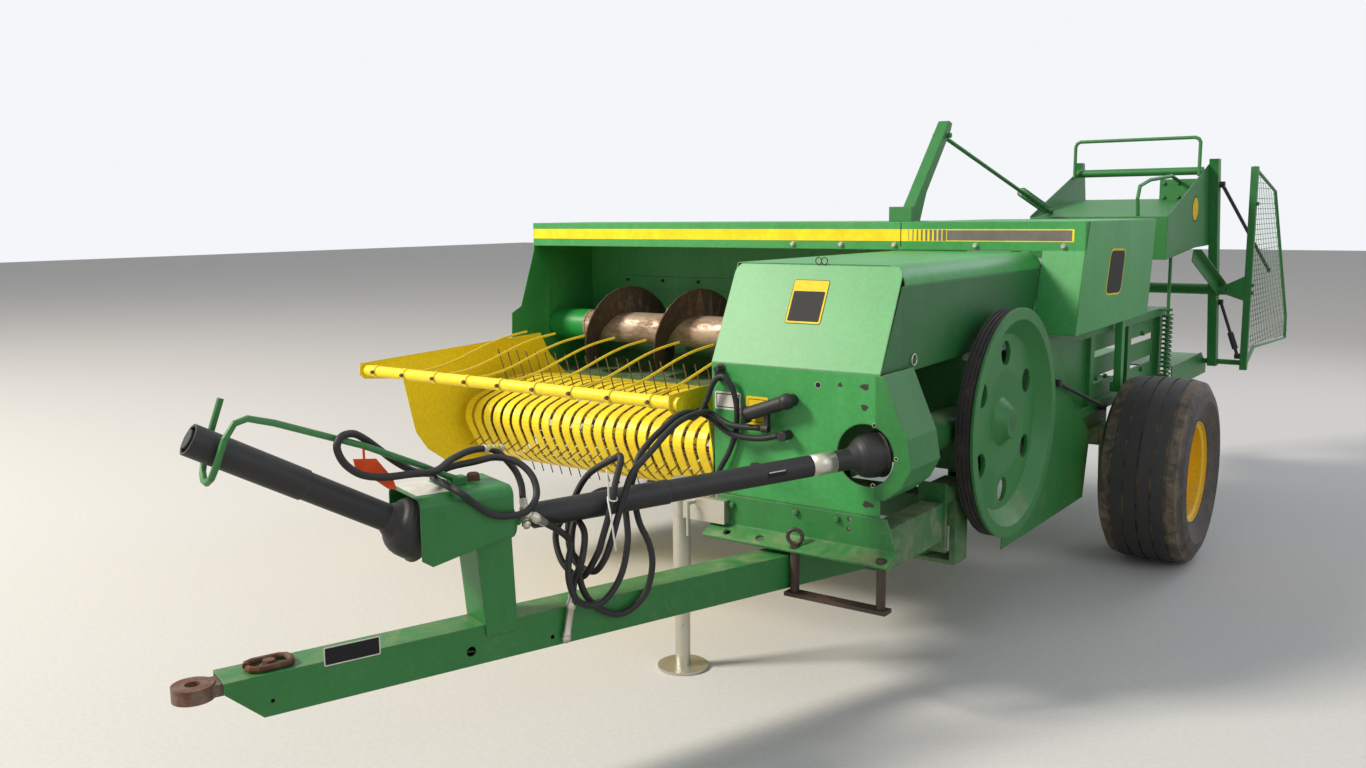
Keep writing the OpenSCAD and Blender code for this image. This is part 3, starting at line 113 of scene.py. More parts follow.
camera_data = bpy.data.cameras.new("camera")
camera_data.sensor_width = SENSOR
camera_data.lens = LENS
camera = placed("camera", camera_data)
directions = Matrix((right, top, -ahead)).transposed().to_4x4()
camera.matrix_world = Matrix.Translation(CAMERA_AT) @ directions
bpy.context.scene.camera = camera
bpy.context.scene.view_settings.view_transform = "Standard"
print("camera looks along", [round(c, 3) for c in ahead])

# %% [markdown]
# Colours are chosen as screen values, from 0 to 255, but the renderer adds light
# in linear numbers. One function does the change. The others keep each finish short: they
# add a node, fill its inputs with numbers or with what other nodes give, and hand back the
# socket of its result, so that they can be written inside one another like sums.

# %% Colours and nodes


def colour(red, green, blue):
    """A screen colour, 0 to 255, as the linear colour that the nodes want."""
    linear = []
    for value in (red, green, blue):
        share = value / 255
        linear.append(share / 12.92 if share <= 0.04045 else ((share + 0.055) / 1.055) ** 2.4)
    return (*linear, 1)


def add_node(tree, kind, **settings):
    """A node of that kind, with its settings, in a node tree."""
    made = tree.nodes.new(kind)
    for name, value in settings.items():
        setattr(made, name, value)
    return made


def feed(tree, node, values):
    """Fills a node's inputs: sockets are linked and plain values are set."""
    for name, value in values.items():
        if isinstance(value, bpy.types.NodeSocket):
            tree.links.new(value, node.inputs[name])
        elif value is not None:
            node.inputs[name].default_value = value
    return node


def new_material(name):
    """An empty node material, as (material, its tree, its surface shader)."""
    made = bpy.data.materials.new(name)
    made.use_nodes = True
    return made, made.node_tree, made.node_tree.nodes["Principled BSDF"]


def new_group(name, inputs, outputs):
    """An empty shader group with named sockets, as (tree, input node, output node)."""
    tree = bpy.data.node_groups.new(name, "ShaderNodeTree")
    for label, kind, value in inputs:
        socket = tree.interface.new_socket(label, in_out="INPUT", socket_type=kind)
        socket.default_value = value
    for label, kind in outputs:
        tree.interface.new_socket(label, in_out="OUTPUT", socket_type=kind)
    return tree, add_node(tree, "NodeGroupInput"), add_node(tree, "NodeGroupOutput")


print("mid green in linear light is", [round(c, 3) for c in colour(46, 132, 58)[:3]])

# %% Sums, mixes and noise


def math_node(tree, operation, first, second=None, clamp=False):
    """Arithmetic on two sockets or numbers."""
    made = add_node(tree, "ShaderNodeMath", operation=operation, use_clamp=clamp)
    return feed(tree, made, {0: first, 1: second}).outputs[0]


def plus(tree, first, second, clamp=False):
    """The sum of two values."""
    return math_node(tree, "ADD", first, second, clamp)


def minus(tree, first, second):
    """The first value less the second."""
    return math_node(tree, "SUBTRACT", first, second)


def times(tree, first, second, clamp=False):
    """The product of two values."""
    return math_node(tree, "MULTIPLY", first, second, clamp)


def mix_colours(tree, share, first, second, blend_type="MIX"):
    """Two colours mixed by a share between 0 and 1."""
    made = add_node(tree, "ShaderNodeMix", data_type="RGBA", blend_type=blend_type)
    return feed(tree, made, {0: share, 6: first, 7: second}).outputs[2]


def noise(tree, place, scale, detail=6, roughness=0.55, distortion=0):
    """Cloudy noise between 0 and 1 at that many clouds to the metre."""
    return feed(tree, add_node(tree, "ShaderNodeTexNoise"), {
        "Scale": scale, "Detail": detail, "Roughness": roughness, "Distortion": distortion,
        "Vector": place}).outputs["Fac"]


def ramp(tree, value, low, high, from_value=0.0, to_value=1.0):
    """Rises smoothly from one value to another while the input goes from low to high."""
    made = add_node(tree, "ShaderNodeMapRange", interpolation_type="SMOOTHSTEP")
    return feed(tree, made, {
        "From Min": low, "From Max": high, "To Min": from_value, "To Max": to_value,
        "Value": value}).outputs["Result"]


def object_place(tree):
    """The place on the machine, in metres, that every pattern follows."""
    return add_node(tree, "ShaderNodeTexCoord").outputs["Object"]


def stretched(tree, place, scale):
    """A place whose three directions are scaled, so that a pattern is drawn out."""
    made = feed(tree, add_node(tree, "ShaderNodeMapping"), {"Scale": scale, "Vector": place})
    return made.outputs["Vector"]


def axis_of(tree, vector, axis):
    """One of the three numbers of a vector."""
    return feed(tree, add_node(tree, "ShaderNodeSeparateXYZ"), {0: vector}).outputs[axis]


def bump(tree, shader, height, strength, distance, normal=None):
    """Gives a surface relief from a height, on top of a normal where one is given."""
    raised = feed(tree, add_node(tree, "ShaderNodeBump"), {
        "Strength": strength, "Distance": distance, "Height": height, "Normal": normal})
    tree.links.new(raised.outputs["Normal"], shader.inputs["Normal"])


print("node helpers are ready")

# %% [markdown]
# Weathered paint is the finish that this machine shows most. Sun bleaches it in clouds,
# rain leaves upright streaks, dust settles on what faces up and near the ground, and rust
# breaks through in specks where noise of two sizes meets. All of it is worked out from
# the place on the machine, so that nothing needs unwrapping and neighbours match. The
# group hands out a colour, a roughness and a height for the bump.

# %% Group: weathered paint
FLOAT, COLOUR = "NodeSocketFloat", "NodeSocketColor"
DUST_ON_TOP, DUST_LOW_DOWN, DUST_MOST = 0.17, 0.22, 0.8
STREAK_SCALE = (26, 26, 1.7)
weathered, given, result = new_group(
    "weathered_paint",
    [
        ("Paint", COLOUR, colour(46, 132, 58)),
        ("Faded", COLOUR, colour(96, 168, 100)),
        ("Dust", COLOUR, colour(176, 160, 132)),
        ("Rust", COLOUR, colour(98, 58, 34)),
        ("Fading", FLOAT, 0.5),
        ("Dusting", FLOAT, 0.3),
        ("Rusting", FLOAT, 0.2),
        ("Gloss", FLOAT, 0.6),
    ],
    [("Color", COLOUR), ("Roughness", FLOAT), ("Height", FLOAT)],
)
tree = weathered
coordinates = add_node(tree, "ShaderNodeTexCoord")
place = coordinates.outputs["Object"]
facing_up = ramp(tree, axis_of(tree, coordinates.outputs["Normal"], "Z"), 0.25, 0.95)
near_ground = ramp(tree, axis_of(tree, place, "Z"), 0.2, 1.0, 1.0, 0.0)

clouds = noise(tree, place, 2.3, 7, 0.62, 0.4)
grain = noise(tree, place, 75, 5, 0.6)
streaks = noise(tree, stretched(tree, place, STREAK_SCALE), 1, 4, 0.6)
fade = plus(tree, ramp(tree, clouds, 0.3, 0.72), times(tree, facing_up, 0.25))
fade = plus(tree, fade, ramp(tree, streaks, 0.42, 0.72, 0.0, 0.3))
fade = times(tree, fade, given.outputs["Fading"], clamp=True)
painted = mix_colours(tree, fade, given.outputs["Paint"], given.outputs["Faded"])
shade = ramp(tree, grain, 0.2, 0.8, 0.88, 1.08)
shade_colour = add_node(tree, "ShaderNodeCombineColor")
feed(tree, shade_colour, {"Red": shade, "Green": shade, "Blue": shade})
painted = mix_colours(tree, 1.0, painted, shade_colour.outputs["Color"], "MULTIPLY")

# %% Weathered paint: dust, rust and what the group gives
settled = plus(tree, times(tree, facing_up, DUST_ON_TOP), times(tree, near_ground, DUST_LOW_DOWN))
patches = noise(tree, place, 11, 9, 0.7, 0.5)
dust = plus(tree, times(tree, patches, 0.85), settled)
dust_edge = minus(tree, 1.12, given.outputs["Dusting"])
dust = ramp(tree, dust, minus(tree, dust_edge, 0.32), plus(tree, dust_edge, 0.24))
dust = times(tree, dust, DUST_MOST)
painted = mix_colours(tree, dust, painted, given.outputs["Dust"])

specks = noise(tree, place, 34, 10, 0.72, 0.3)
areas = noise(tree, place, 4.1, 4, 0.5)
rust = plus(tree, times(tree, specks, 0.62), times(tree, areas, 0.5))
rust_edge = minus(tree, 0.86, times(tree, given.outputs["Rusting"], 0.4))
rust = ramp(tree, rust, rust_edge, plus(tree, rust_edge, 0.05))
rust_colour = mix_colours(tree, ramp(tree, grain, 0.3, 0.7), given.outputs["Rust"], colour(60, 38, 28))

rough = minus(tree, 0.88, times(tree, given.outputs["Gloss"], 0.6))
rough = plus(tree, rough, times(tree, dust, 0.35))
rough = plus(tree, rough, times(tree, rust, 0.3))
rough = plus(tree, rough, times(tree, fade, 0.08), clamp=True)
height = plus(tree, times(tree, clouds, 0.6), times(tree, grain, 0.05))
height = minus(tree, height, times(tree, rust, 0.18))
feed(tree, result, {
    "Color": mix_colours(tree, rust, painted, rust_colour), "Roughness": rough, "Height": height})
print("weathered paint has", len(tree.nodes), "nodes")

# %% [markdown]
# Sheet metal loses its paint first along its edges, where hay, boots and chains rub. The
# Bevel node gives the normal that a rounded edge would have; where it differs from the
# flat one, the surface is close to an edge. Noise breaks the line up, so that it looks
# rubbed and not drawn.

# %% Group: rubbed edges
EDGE_REACH = 0.006
rubbed, given, result = new_group(
    "rubbed_edges",
    [("Reach", FLOAT, EDGE_REACH), ("Amount", FLOAT, 0.5)],
    [("Mask", FLOAT), ("Normal", "NodeSocketVector")],
)
tree = rubbed
soft_edge = feed(tree, add_node(tree, "ShaderNodeBevel", samples=3), {"Radius": given.outputs["Reach"]})
flat = add_node(tree, "ShaderNodeNewGeometry")
likeness = add_node(tree, "ShaderNodeVectorMath", operation="DOT_PRODUCT")
feed(tree, likeness, {0: soft_edge.outputs["Normal"], 1: flat.outputs["Normal"]})
broken = noise(tree, object_place(tree), 42, 8, 0.7)
edge = ramp(tree, minus(tree, 1.0, likeness.outputs["Value"]), 0.01, 0.2)
edge = times(tree, edge, ramp(tree, broken, 0.4, 0.6))
edge = times(tree, edge, given.outputs["Amount"], clamp=True)
feed(tree, result, {"Mask": edge, "Normal": soft_edge.outputs["Normal"]})
print("rubbed edges looks", soft_edge.samples, "ways from each point")

# %% [markdown]
# One function now makes every painted finish: it places both groups in a material, mixes
# the rubbed metal over the paint and joins them to the shader. What is the same all over,
# such as the clear coat, goes straight on the shader, where other programs can read it.

# %% Painted finishes


def painted_finish(name, paint, faded, fading=0.5, dusting=0.3, rusting=0.2, gloss=0.6, edges=0.5,
                   bare=(150, 142, 128), rust=(98, 58, 34), coat=0.15, dust=(176, 160, 132)):
    """A material of weathered paint on sheet metal."""
    made, tree, shader = new_material(name)
    paint_node = feed(tree, add_node(tree, "ShaderNodeGroup", node_tree=weathered), {
        "Paint": colour(*paint), "Faded": colour(*faded), "Rust": colour(*rust), "Dust": colour(*dust),
        "Fading": fading, "Dusting": dusting, "Rusting": rusting, "Gloss": gloss})
    edge_node = feed(tree, add_node(tree, "ShaderNodeGroup", node_tree=rubbed), {"Amount": edges})
    worn = mix_colours(tree, edge_node.outputs["Mask"], paint_node.outputs["Color"], colour(*bare))
    feed(tree, shader, {"Base Color": worn, "Roughness": paint_node.outputs["Roughness"],
                        "Coat Weight": coat, "Coat Roughness": 0.3})
    bump(tree, shader, paint_node.outputs["Height"], 0.35, 0.004, edge_node.outputs["Normal"])
    return made


GREEN_PAINTS = {
    "green": painted_finish(
        "green_paint", (24, 108, 40), (58, 142, 70), fading=0.34, dusting=0.2, rusting=0.16),
    "light green": painted_finish(
        "faded_green_paint", (38, 138, 58), (82, 170, 98), fading=0.45, dusting=0.14, rusting=0.08),
    # a darker copy of the green for parts inside and under the machine: the darker paint is painted shade,
    # and its extra dust and rust are real
    "shaded green": painted_finish(
        "shaded_inner_green_paint", (22, 92, 38), (50, 118, 60), fading=0.3, dusting=0.34, rusting=0.24, edges=0.3),
    "tongue green": painted_finish(
        "tongue_green_paint", (22, 108, 40), (48, 134, 62), fading=0.32, dusting=0.16, rusting=0.3,
        rust=(62, 44, 32)),
}
OTHER_PAINTS = {
    "yellow": painted_finish(
        "pickup_yellow_paint", (250, 218, 4), (238, 214, 44), fading=0.3, dusting=0.12, rusting=0.12,
        edges=0.6, rust=(120, 72, 26), coat=0.1),
    "rim yellow": painted_finish(
        "rim_yellow_paint", (246, 196, 4), (236, 200, 50), fading=0.3, dusting=0.18, rusting=0.14,
        rust=(128, 74, 26)),
    "black": painted_finish(
        "black_guard_paint", (13, 13, 14), (40, 38, 37), fading=0.28, dusting=0.12, rusting=0.42,
        gloss=0.55, edges=0.35, rust=(84, 50, 36), coat=0.05),
    "black frame": painted_finish(
        "black_frame_paint", (22, 21, 20), (54, 48, 42), fading=0.35, dusting=0.26, rusting=0.5,
        gloss=0.3, rust=(80, 52, 36)),
}
finishes = {**GREEN_PAINTS, **OTHER_PAINTS}
print("painted finishes:", ", ".join(finishes))

# %% [markdown]
# Bare steel is polished by the crop in some places and brown in others. The same paint
# group would hide the metal under a coat, so this finish uses the rust as the mask that
# turns the metal off. A finer noise, drawn out along the auger, gives the scour marks. The
# auger's tube keeps its paint at one end, so its finish can change at a place along x.

# %% Bare metal finishes


def metal_finish(name, clean, rusty, rusting=0.5, rough=0.4, speck=26.0, stretch=(1, 1, 1), metal=0.9,
                 painted_to=None):
    """Bare steel or zinc with rust or stain. Below x = painted_to it keeps its green paint."""
    made, tree, shader = new_material(name)
    place = object_place(tree)
    fine = noise(tree, stretched(tree, place, stretch), speck, 10, 0.7, 0.3)
    wide = noise(tree, place, 4.5, 5, 0.6)
    stain = plus(tree, times(tree, fine, 0.6), times(tree, wide, 0.4))
    stained = ramp(tree, stain, 0.62 - 0.3 * rusting, 0.72 - 0.2 * rusting)
    dark_rust = colour(*[0.72 * c for c in rusty])
    tint = mix_colours(tree, ramp(tree, fine, 0.35, 0.65), dark_rust, colour(*rusty))
    tone = mix_colours(tree, stained, colour(*clean), tint)
    shine = ramp(tree, stained, 0, 1, metal, metal * 0.15)
    dullness = ramp(tree, stained, 0, 1, rough, 0.85)
    if painted_to is not None:
        ragged = plus(tree, axis_of(tree, place, "X"), times(tree, fine, 0.02))
        paint = ramp(tree, ragged, painted_to, painted_to + 0.008, 1.0, 0.0)
        tone = mix_colours(tree, paint, tone, colour(34, 138, 58))
        shine = times(tree, shine, minus(tree, 1.0, paint))
        dullness = ramp(tree, paint, 0, 1, dullness, 0.38)
    feed(tree, shader, {"Base Color": tone, "Metallic": shine, "Roughness": dullness})
    bump(tree, shader, fine, 0.3, 0.002)
    return made


AUGER_PAINT_END = spot(-1650, 0, 0).x
METALS = {
    "auger steel": ("auger_steel", (188, 166, 144), (142, 114, 90), 0.66, 0.46, 30, (0.4, 1, 1), 0.4,
                    AUGER_PAINT_END),
    "flight steel": ("flight_steel", (102, 84, 68), (76, 58, 46), 0.7, 0.55, 34, (1, 1, 1), 0.35),
    "tine steel": ("tine_steel", (128, 112, 92), (90, 62, 42), 0.6, 0.5, 60, (1, 1, 1), 0.7),
    "zinc": ("galvanised_steel", (196, 192, 178), (150, 132, 104), 0.25, 0.38, 34, (1, 1, 1), 0.8),
    "hitch steel": ("hitch_steel", (120, 100, 86), (104, 62, 42), 0.75, 0.55, 30, (1, 1, 1), 0.5),
    "dark steel": ("greasy_dark_steel", (70, 64, 58), (72, 52, 40), 0.5, 0.45, 30, (1, 1, 1), 0.6),
}
for label, settings in METALS.items():
    finishes[label] = metal_finish(*settings)
print("the auger's paint ends at x =", round(AUGER_PAINT_END, 3))

# %% [markdown]
# A farm tyre is dark rubber that holds sand. The sand is thickest in the tread grooves
# and thins out over the shoulders, while the crown is rubbed clean. So the dust here is a
# function of the distance from the axle, which the group measures from a given centre.

# %% Group: dusty rubber
dusty, given, result = new_group(
    "dusty_rubber",
    [
        ("Centre", "NodeSocketVector", (0, 0, 0)),
        ("Crown", FLOAT, 0.39),
        ("Rubber", COLOUR, colour(42, 42, 43)),
        ("Sand", COLOUR, colour(150, 130, 104)),
        ("Amount", FLOAT, 0.5),
    ],
    [("Color", COLOUR), ("Roughness", FLOAT), ("Height", FLOAT)],
)
tree = dusty
place = object_place(tree)
offset = add_node(tree, "ShaderNodeVectorMath", operation="SUBTRACT")
feed(tree, offset, {0: place, 1: given.outputs["Centre"]})
parts = feed(tree, add_node(tree, "ShaderNodeSeparateXYZ"), {0: offset.outputs[0]}).outputs
squares = [times(tree, parts[axis], parts[axis]) for axis in ("Y", "Z")]
from_axle = math_node(tree, "SQRT", plus(tree, *squares))
depth = minus(tree, given.outputs["Crown"], from_axle)
groove = ramp(tree, depth, 0.003, 0.009)
shoulder = ramp(tree, depth, 0.012, 0.05, 1.0, 0.25)
sandy = noise(tree, place, 16, 9, 0.7, 0.4)
cover = times(tree, ramp(tree, sandy, 0.36, 0.66), times(tree, groove, shoulder))
cover = plus(tree, cover, ramp(tree, sandy, 0.55, 0.8, 0.0, 0.35))
cover = times(tree, cover, given.outputs["Amount"], clamp=True)
fine_rubber = noise(tree, place, 240, 4, 0.6)
rings = math_node(tree, "SINE", times(tree, from_axle, 620))
ring_height = times(tree, rings, ramp(tree, depth, 0.05, 0.07, 0.0, 0.12))
feed(tree, result, {
    "Color": mix_colours(tree, cover, given.outputs["Rubber"], given.outputs["Sand"]),
    "Roughness": ramp(tree, cover, 0, 1, 0.62, 0.95),
    "Height": plus(tree, times(tree, fine_rubber, 0.25), ring_height)})
print("dusty rubber has", len(tree.nodes), "nodes")

# %% Rubber finishes
AXLE_Y, TYRE_R, SMALL_TYRE_R = 1779, 390, 330
TYRE_BLACK = (52, 51, 50)
ALL_OVER = 9


def rubber_finish(name, centre, crown, rubber, sand=(150, 130, 104), amount=0.6):
    """Rubber with sand in what lies lower than its crown."""
    made, tree, shader = new_material(name)
    group = feed(tree, add_node(tree, "ShaderNodeGroup", node_tree=dusty), {
        "Centre": centre, "Crown": crown, "Rubber": colour(*rubber), "Sand": colour(*sand), "Amount": amount})
    feed(tree, shader, {"Base Color": group.outputs["Color"], "Roughness": group.outputs["Roughness"]})
    bump(tree, shader, group.outputs["Height"], 0.4, 0.003)
    return made


finishes["left tyre"] = rubber_finish(
    "left_tyre_rubber", spot(957, AXLE_Y, TYRE_R), TYRE_R / 1000, TYRE_BLACK, amount=0.7)
finishes["right tyre"] = rubber_finish(
    "right_tyre_rubber", spot(-1700, AXLE_Y, SMALL_TYRE_R), SMALL_TYRE_R / 1000, TYRE_BLACK)
finishes["belt"] = rubber_finish("belt_rubber", spot(720, 450, 772), 0.389, (34, 33, 33), amount=0.35)
finishes["hose"] = rubber_finish("hose_rubber", (0, 0, 0), ALL_OVER, (17, 17, 18), (72, 64, 54), 0.35)
print("rubber finishes added: left tyre, right tyre, belt, hose")

# %% [markdown]
# Labels, stripes and ties are thin printed or moulded things. They have little wear, so
# one function gives them a colour that noise breaks up a little, and a satin surface.

# %% Printed and moulded finishes
PRINTED = {
    "stripe yellow": (252, 226, 36),
    "stripe grey": (120, 112, 112),
    "label black": (20, 20, 22),
    "label white": (226, 224, 214),
    "label yellow": (240, 206, 40),
    "flag orange": (236, 84, 30),
    "tie white": (232, 230, 222),
}
SOIL, SOILING, DARKER = (128, 112, 88), 0.08, 0.9


def plain_finish(name, tone, rough=0.6):
    """A flat printed or moulded colour with a little soil on it."""
    made, tree, shader = new_material(name)
    place = object_place(tree)
    soft = noise(tree, place, 18, 8, 0.65)
    darker = colour(*[c * DARKER for c in tone])
    toned = mix_colours(tree, ramp(tree, soft, 0.3, 0.7), colour(*tone), darker)
    dirt = ramp(tree, noise(tree, place, 47, 10, 0.75), 0.72 - 0.3 * SOILING, 0.85)
    feed(tree, shader, {
        "Base Color": mix_colours(tree, dirt, toned, colour(*SOIL)),
        "Roughness": ramp(tree, dirt, 0, 1, rough, 0.85), "Specular IOR Level": 0.25})
    return made


for label, tone in PRINTED.items():
    finishes[label] = plain_finish(label.replace(" ", "_"), tone)
print("printed finishes added; there are now", len(finishes))

# %% [markdown]
# Each solid of the frame gets its finish by name. Long lists of assignments hide
# mistakes, so this one is a table from finish to solids, and the loop says which solids
# it has not met.

# %% Finishes of the frame's own solids
SOLIDS = {
    "green": ["bale_case", "front_sill", "feeder_rod", "flywheel", "ejector_mast", "hoop_rail", "side_guard",
              "driveline_shield", "flywheel_guard", "parking_hook", "tension_spring", "feeder_lever",
              "ejector_pan", "guard_mesh", "ejector_housing"],
    "light green": ["hood_end_door", "box_lower_panel", "box_upper_panel", "box_top_cover", "feeder_house"],
    # parts inside and under the machine take the darker green, which is painted shade
    "shaded green": ["main_frame", "gearcase", "axle", "box_walls", "feeder_floor"],
    "tongue green": ["tongue", "pedestal", "pedestal_cover"],
    "yellow": ["pickup_ends", "stripper_bands", "windguard"],
    "rim yellow": ["rim_left", "rim_right"],
    "black": ["driveline_rear", "driveline_slide", "driveline_front", "panel_ports"],
    "black frame": ["ejector_brace", "needle_rod"],
    "auger steel": ["auger"],
    "flight steel": ["auger_flight"],
    "tine steel": ["tine_reel"],
    "hitch steel": ["hitch", "hitch_clip"],
    "dark steel": ["tongue_pins"],
    "zinc": ["jack_tube", "jack_leg", "hose_couplers"],
    "left tyre": ["tyre_left"],
    "right tyre": ["tyre_right"],
    "belt": ["flywheel_belt"],
    "hose": ["hose_supply", "hose_return", "hose_loops", "hose_arch"],
    "flag orange": ["marker_flag"],
}
left_over = set(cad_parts)
for finish, names in SOLIDS.items():
    for name in names:
        for material_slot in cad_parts[name].material_slots:
            material_slot.material = finishes[finish]
        left_over.discard(name)
print("solids without a finish:", sorted(left_over) or "none")

# %% [markdown]
# The hydraulic hoses are the liveliest lines of the machine. Each follows the route of
# the drawing, smoothed with a Catmull-Rom curve so that no kink shows, and is skinned as
# a round tube. Rings are carried along the curve without twist, by turning each ring's
# frame only as much as the curve bends. The rings, their skin and the step that puts a
# piece on its body are small functions of their own, because all later pieces use them.

# %% Rings, skins and pieces


def circle(shape, centre, across, third, radius, sides):
    """Corners evenly round a centre, in the plane of two directions."""
    return [shape.verts.new(centre + radius * (math.cos(a) * across + math.sin(a) * third))
            for a in (2 * math.pi * k / sides for k in range(sides))]


def skin(shape, rings, smooth=True):
    """Faces from each ring of corners to the next, and a cap on both ends."""
    for lower, upper in zip(rings, rings[1:]):
        for k in range(len(lower)):
            after = (k + 1) % len(lower)
            shape.faces.new((lower[k], lower[after], upper[after], upper[k])).smooth = smooth
    shape.faces.new(list(reversed(rings[0])))
    shape.faces.new(rings[-1])


def finished(name, shape, finish):
    """An object made from a bmesh, with its finish."""
    shape.normal_update()
    mesh = bpy.data.meshes.new(name)
    shape.to_mesh(mesh)
    shape.free()
    mesh.materials.append(finishes[finish])
    return placed(name, mesh)


def fitted(piece, body):
    """Puts a piece on its body."""
    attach(piece, body)
    return piece


print("pieces can be made and fitted")

# %% Hose helpers
HOSE_R = 0.009


def smooth_path(points, steps=6):
    """Points along a smooth curve through the given ones."""
    ends = [2 * points[0] - points[1], *points, 2 * points[-1] - points[-2]]
    path = []
    for before, start, end, after in zip(ends, ends[1:], ends[2:], ends[3:]):
        for step in range(steps):
            t = step / steps
            path.append(0.5 * ((2 * start) + (end - before) * t
                               + (2 * before - 5 * start + 4 * end - after) * t * t
                               + (3 * start - before - 3 * end + after) * t ** 3))
    return [*path, points[-1]]


def path_length(path):
    """The length of a line through points, in metres."""
    return sum((b - a).length for a, b in zip(path, path[1:]))


def tube(name, path, radius, finish, sides=12):
    """A round tube along a path, with closed ends."""
    shape = bmesh.new()
    rings = []
    heading = (path[1] - path[0]).normalized()
    across = heading.orthogonal().normalized()
    for i, point in enumerate(path):
        new_heading = (path[min(i + 1, len(path) - 1)] - path[max(i - 1, 0)]).normalized()
        across = heading.rotation_difference(new_heading) @ across
        heading = new_heading
        rings.append(circle(shape, point, across, heading.cross(across), radius, sides))
    skin(shape, rings)
    return finished(name, shape, finish)


print("hoses are", round(2000 * HOSE_R), "mm thick")

# %% [markdown]
# Four hoses are built: the supply and the return run from the machine's frame onto the
# tongue. The loops lie on the tongue, and the short one arches over a clamp on the front
# panel. The routes are the drawing's own points, in the tongue's millimetres for the first
# three.

# %% Hose routes
SUPPLY_ROUTE = [
    [640, -59, 836], [684, -158, 838], [703, -236, 867], [819, -150, 886], [937, -60, 892],
    [1042, 25, 882], [1126, 80, 855], [1184, 108, 830], [1222, 122, 807], [1245, 122, 756],
    [1264, 118, 697], [1281, 112, 637], [1295, 96, 581], [1306, 52, 540], [1322, -22, 560],
    [1318, -54, 640], [1296, -56, 716], [1268, -24, 786], [1244, 60, 838], [1243, 104, 852],
    [1268, 114, 785], [1286, 112, 711], [1304, 106, 647], [1316, 92, 595], [1339, 49, 530],
    [1358, -20, 560], [1354, -58, 630], [1338, -10, 689], [1334, 60, 659], [1363, 97, 593],
    [1373, 76, 542], [1379, 73, 501]]
RETURN_ROUTE = [
    [620, 0, 820], [644, -71, 803], [684, -158, 810], [684, -272, 846], [796, -196, 884],
    [916, -100, 901], [1014, -30, 887], [1089, 10, 861], [1134, 20, 824], [1150, 22, 779],
    [1160, 20, 740], [1150, 24, 690], [1143, 36, 640], [1124, 52, 583], [1123, 64, 525],
    [1145, 66, 457], [1190, 66, 419], [1240, 66, 411], [1289, 66, 434], [1328, 66, 472],
    [1351, 67, 521], [1353, 57, 578], [1352, 24, 600], [1330, -2, 662], [1290, -16, 712],
    [1232, -8, 740], [1190, 18, 720], [1190, 46, 638], [1203, 62, 588], [1231, 84, 538],
    [1261, 88, 494], [1302, 88, 462], [1346, 90, 465], [1382, 94, 492], [1400, 93, 542],
    [1394, 81, 592], [1374, 60, 633], [1407, 66, 670], [1451, 68, 700]]
LOOP_ROUTE = [
    [1700, -58, 832], [1709, 112, 832], [1669, 112, 796], [1621, 114, 760], [1572, 114, 749],
    [1521, 104, 751], [1481, 80, 780], [1476, 50, 824], [1500, 15, 858], [1543, -20, 870],
    [1598, -30, 864], [1655, -35, 859], [1711, -30, 850], [1770, -4, 868], [1819, 4, 900],
    [1863, 22, 937], [1899, 36, 967], [1935, 55, 989], [1970, 75, 989], [1983, 80, 965],
    [1967, 80, 927], [1929, 78, 896], [1875, 70, 881], [1811, 75, 880], [1738, 53, 874],
    [1669, -8, 883], [1593, -50, 890], [1528, -60, 880], [1487, -40, 835], [1479, -10, 796],
    [1489, 20, 759]]
ARCH_ROUTE = [
    [52, -300, 866], [30, -345, 852], [36, -385, 846], [66, -389, 848], [92, -389, 872],
    [110, -385, 908], [131, -385, 956], [152, -385, 980], [176, -385, 982], [198, -377, 950],
    [209, -371, 905], [211, -370, 868], [207, -370, 812], [184, -372, 748], [152, -376, 690],
    [132, -380, 640]]
print("route points:", len(SUPPLY_ROUTE), len(RETURN_ROUTE), len(LOOP_ROUTE), len(ARCH_ROUTE))

# %% [markdown]
# A coupler ends each long hose: a nut, a grooved sleeve and a nose that goes into the
# socket. It is turned like the real one, from a profile of radius and distance along the
# hose, so all three come from one table of lengths.

# %% Couplers
SHARP = 0.6


def turned(name, start, way, profile, finish, sides=24):
    """A solid turned about a line: the profile lists (distance along it, radius)."""
    shape = bmesh.new()
    way = way.normalized()
    across = way.orthogonal().normalized()
    third = way.cross(across)
    skin(shape, [circle(shape, start + along * way, across, third, radius, sides)
                 for along, radius in profile])
    for made_edge in shape.edges:
        if len(made_edge.link_faces) == 2 and made_edge.calc_face_angle(0) > SHARP:
            made_edge.smooth = False
    return finished(name, shape, finish)


def coupler_profile(length):
    """Nut, neck, grooved sleeve and nose of a quick coupler, in metres."""
    end = length / 1000
    return [(0.0004, 0.0085), (0.0004, 0.0105), (0.022, 0.0105), (0.024, 0.013), (0.042, 0.013),
            (0.044, 0.010), (end - 0.030, 0.010), (end - 0.027, 0.012), (end - 0.020, 0.012),
            (end - 0.019, 0.0112), (end - 0.017, 0.0112), (end - 0.016, 0.012), (end - 0.008, 0.012),
            (end - 0.006, 0.008), (end - 0.0005, 0.008)]


print("a coupler's profile has", len(coupler_profile(100)), "steps")
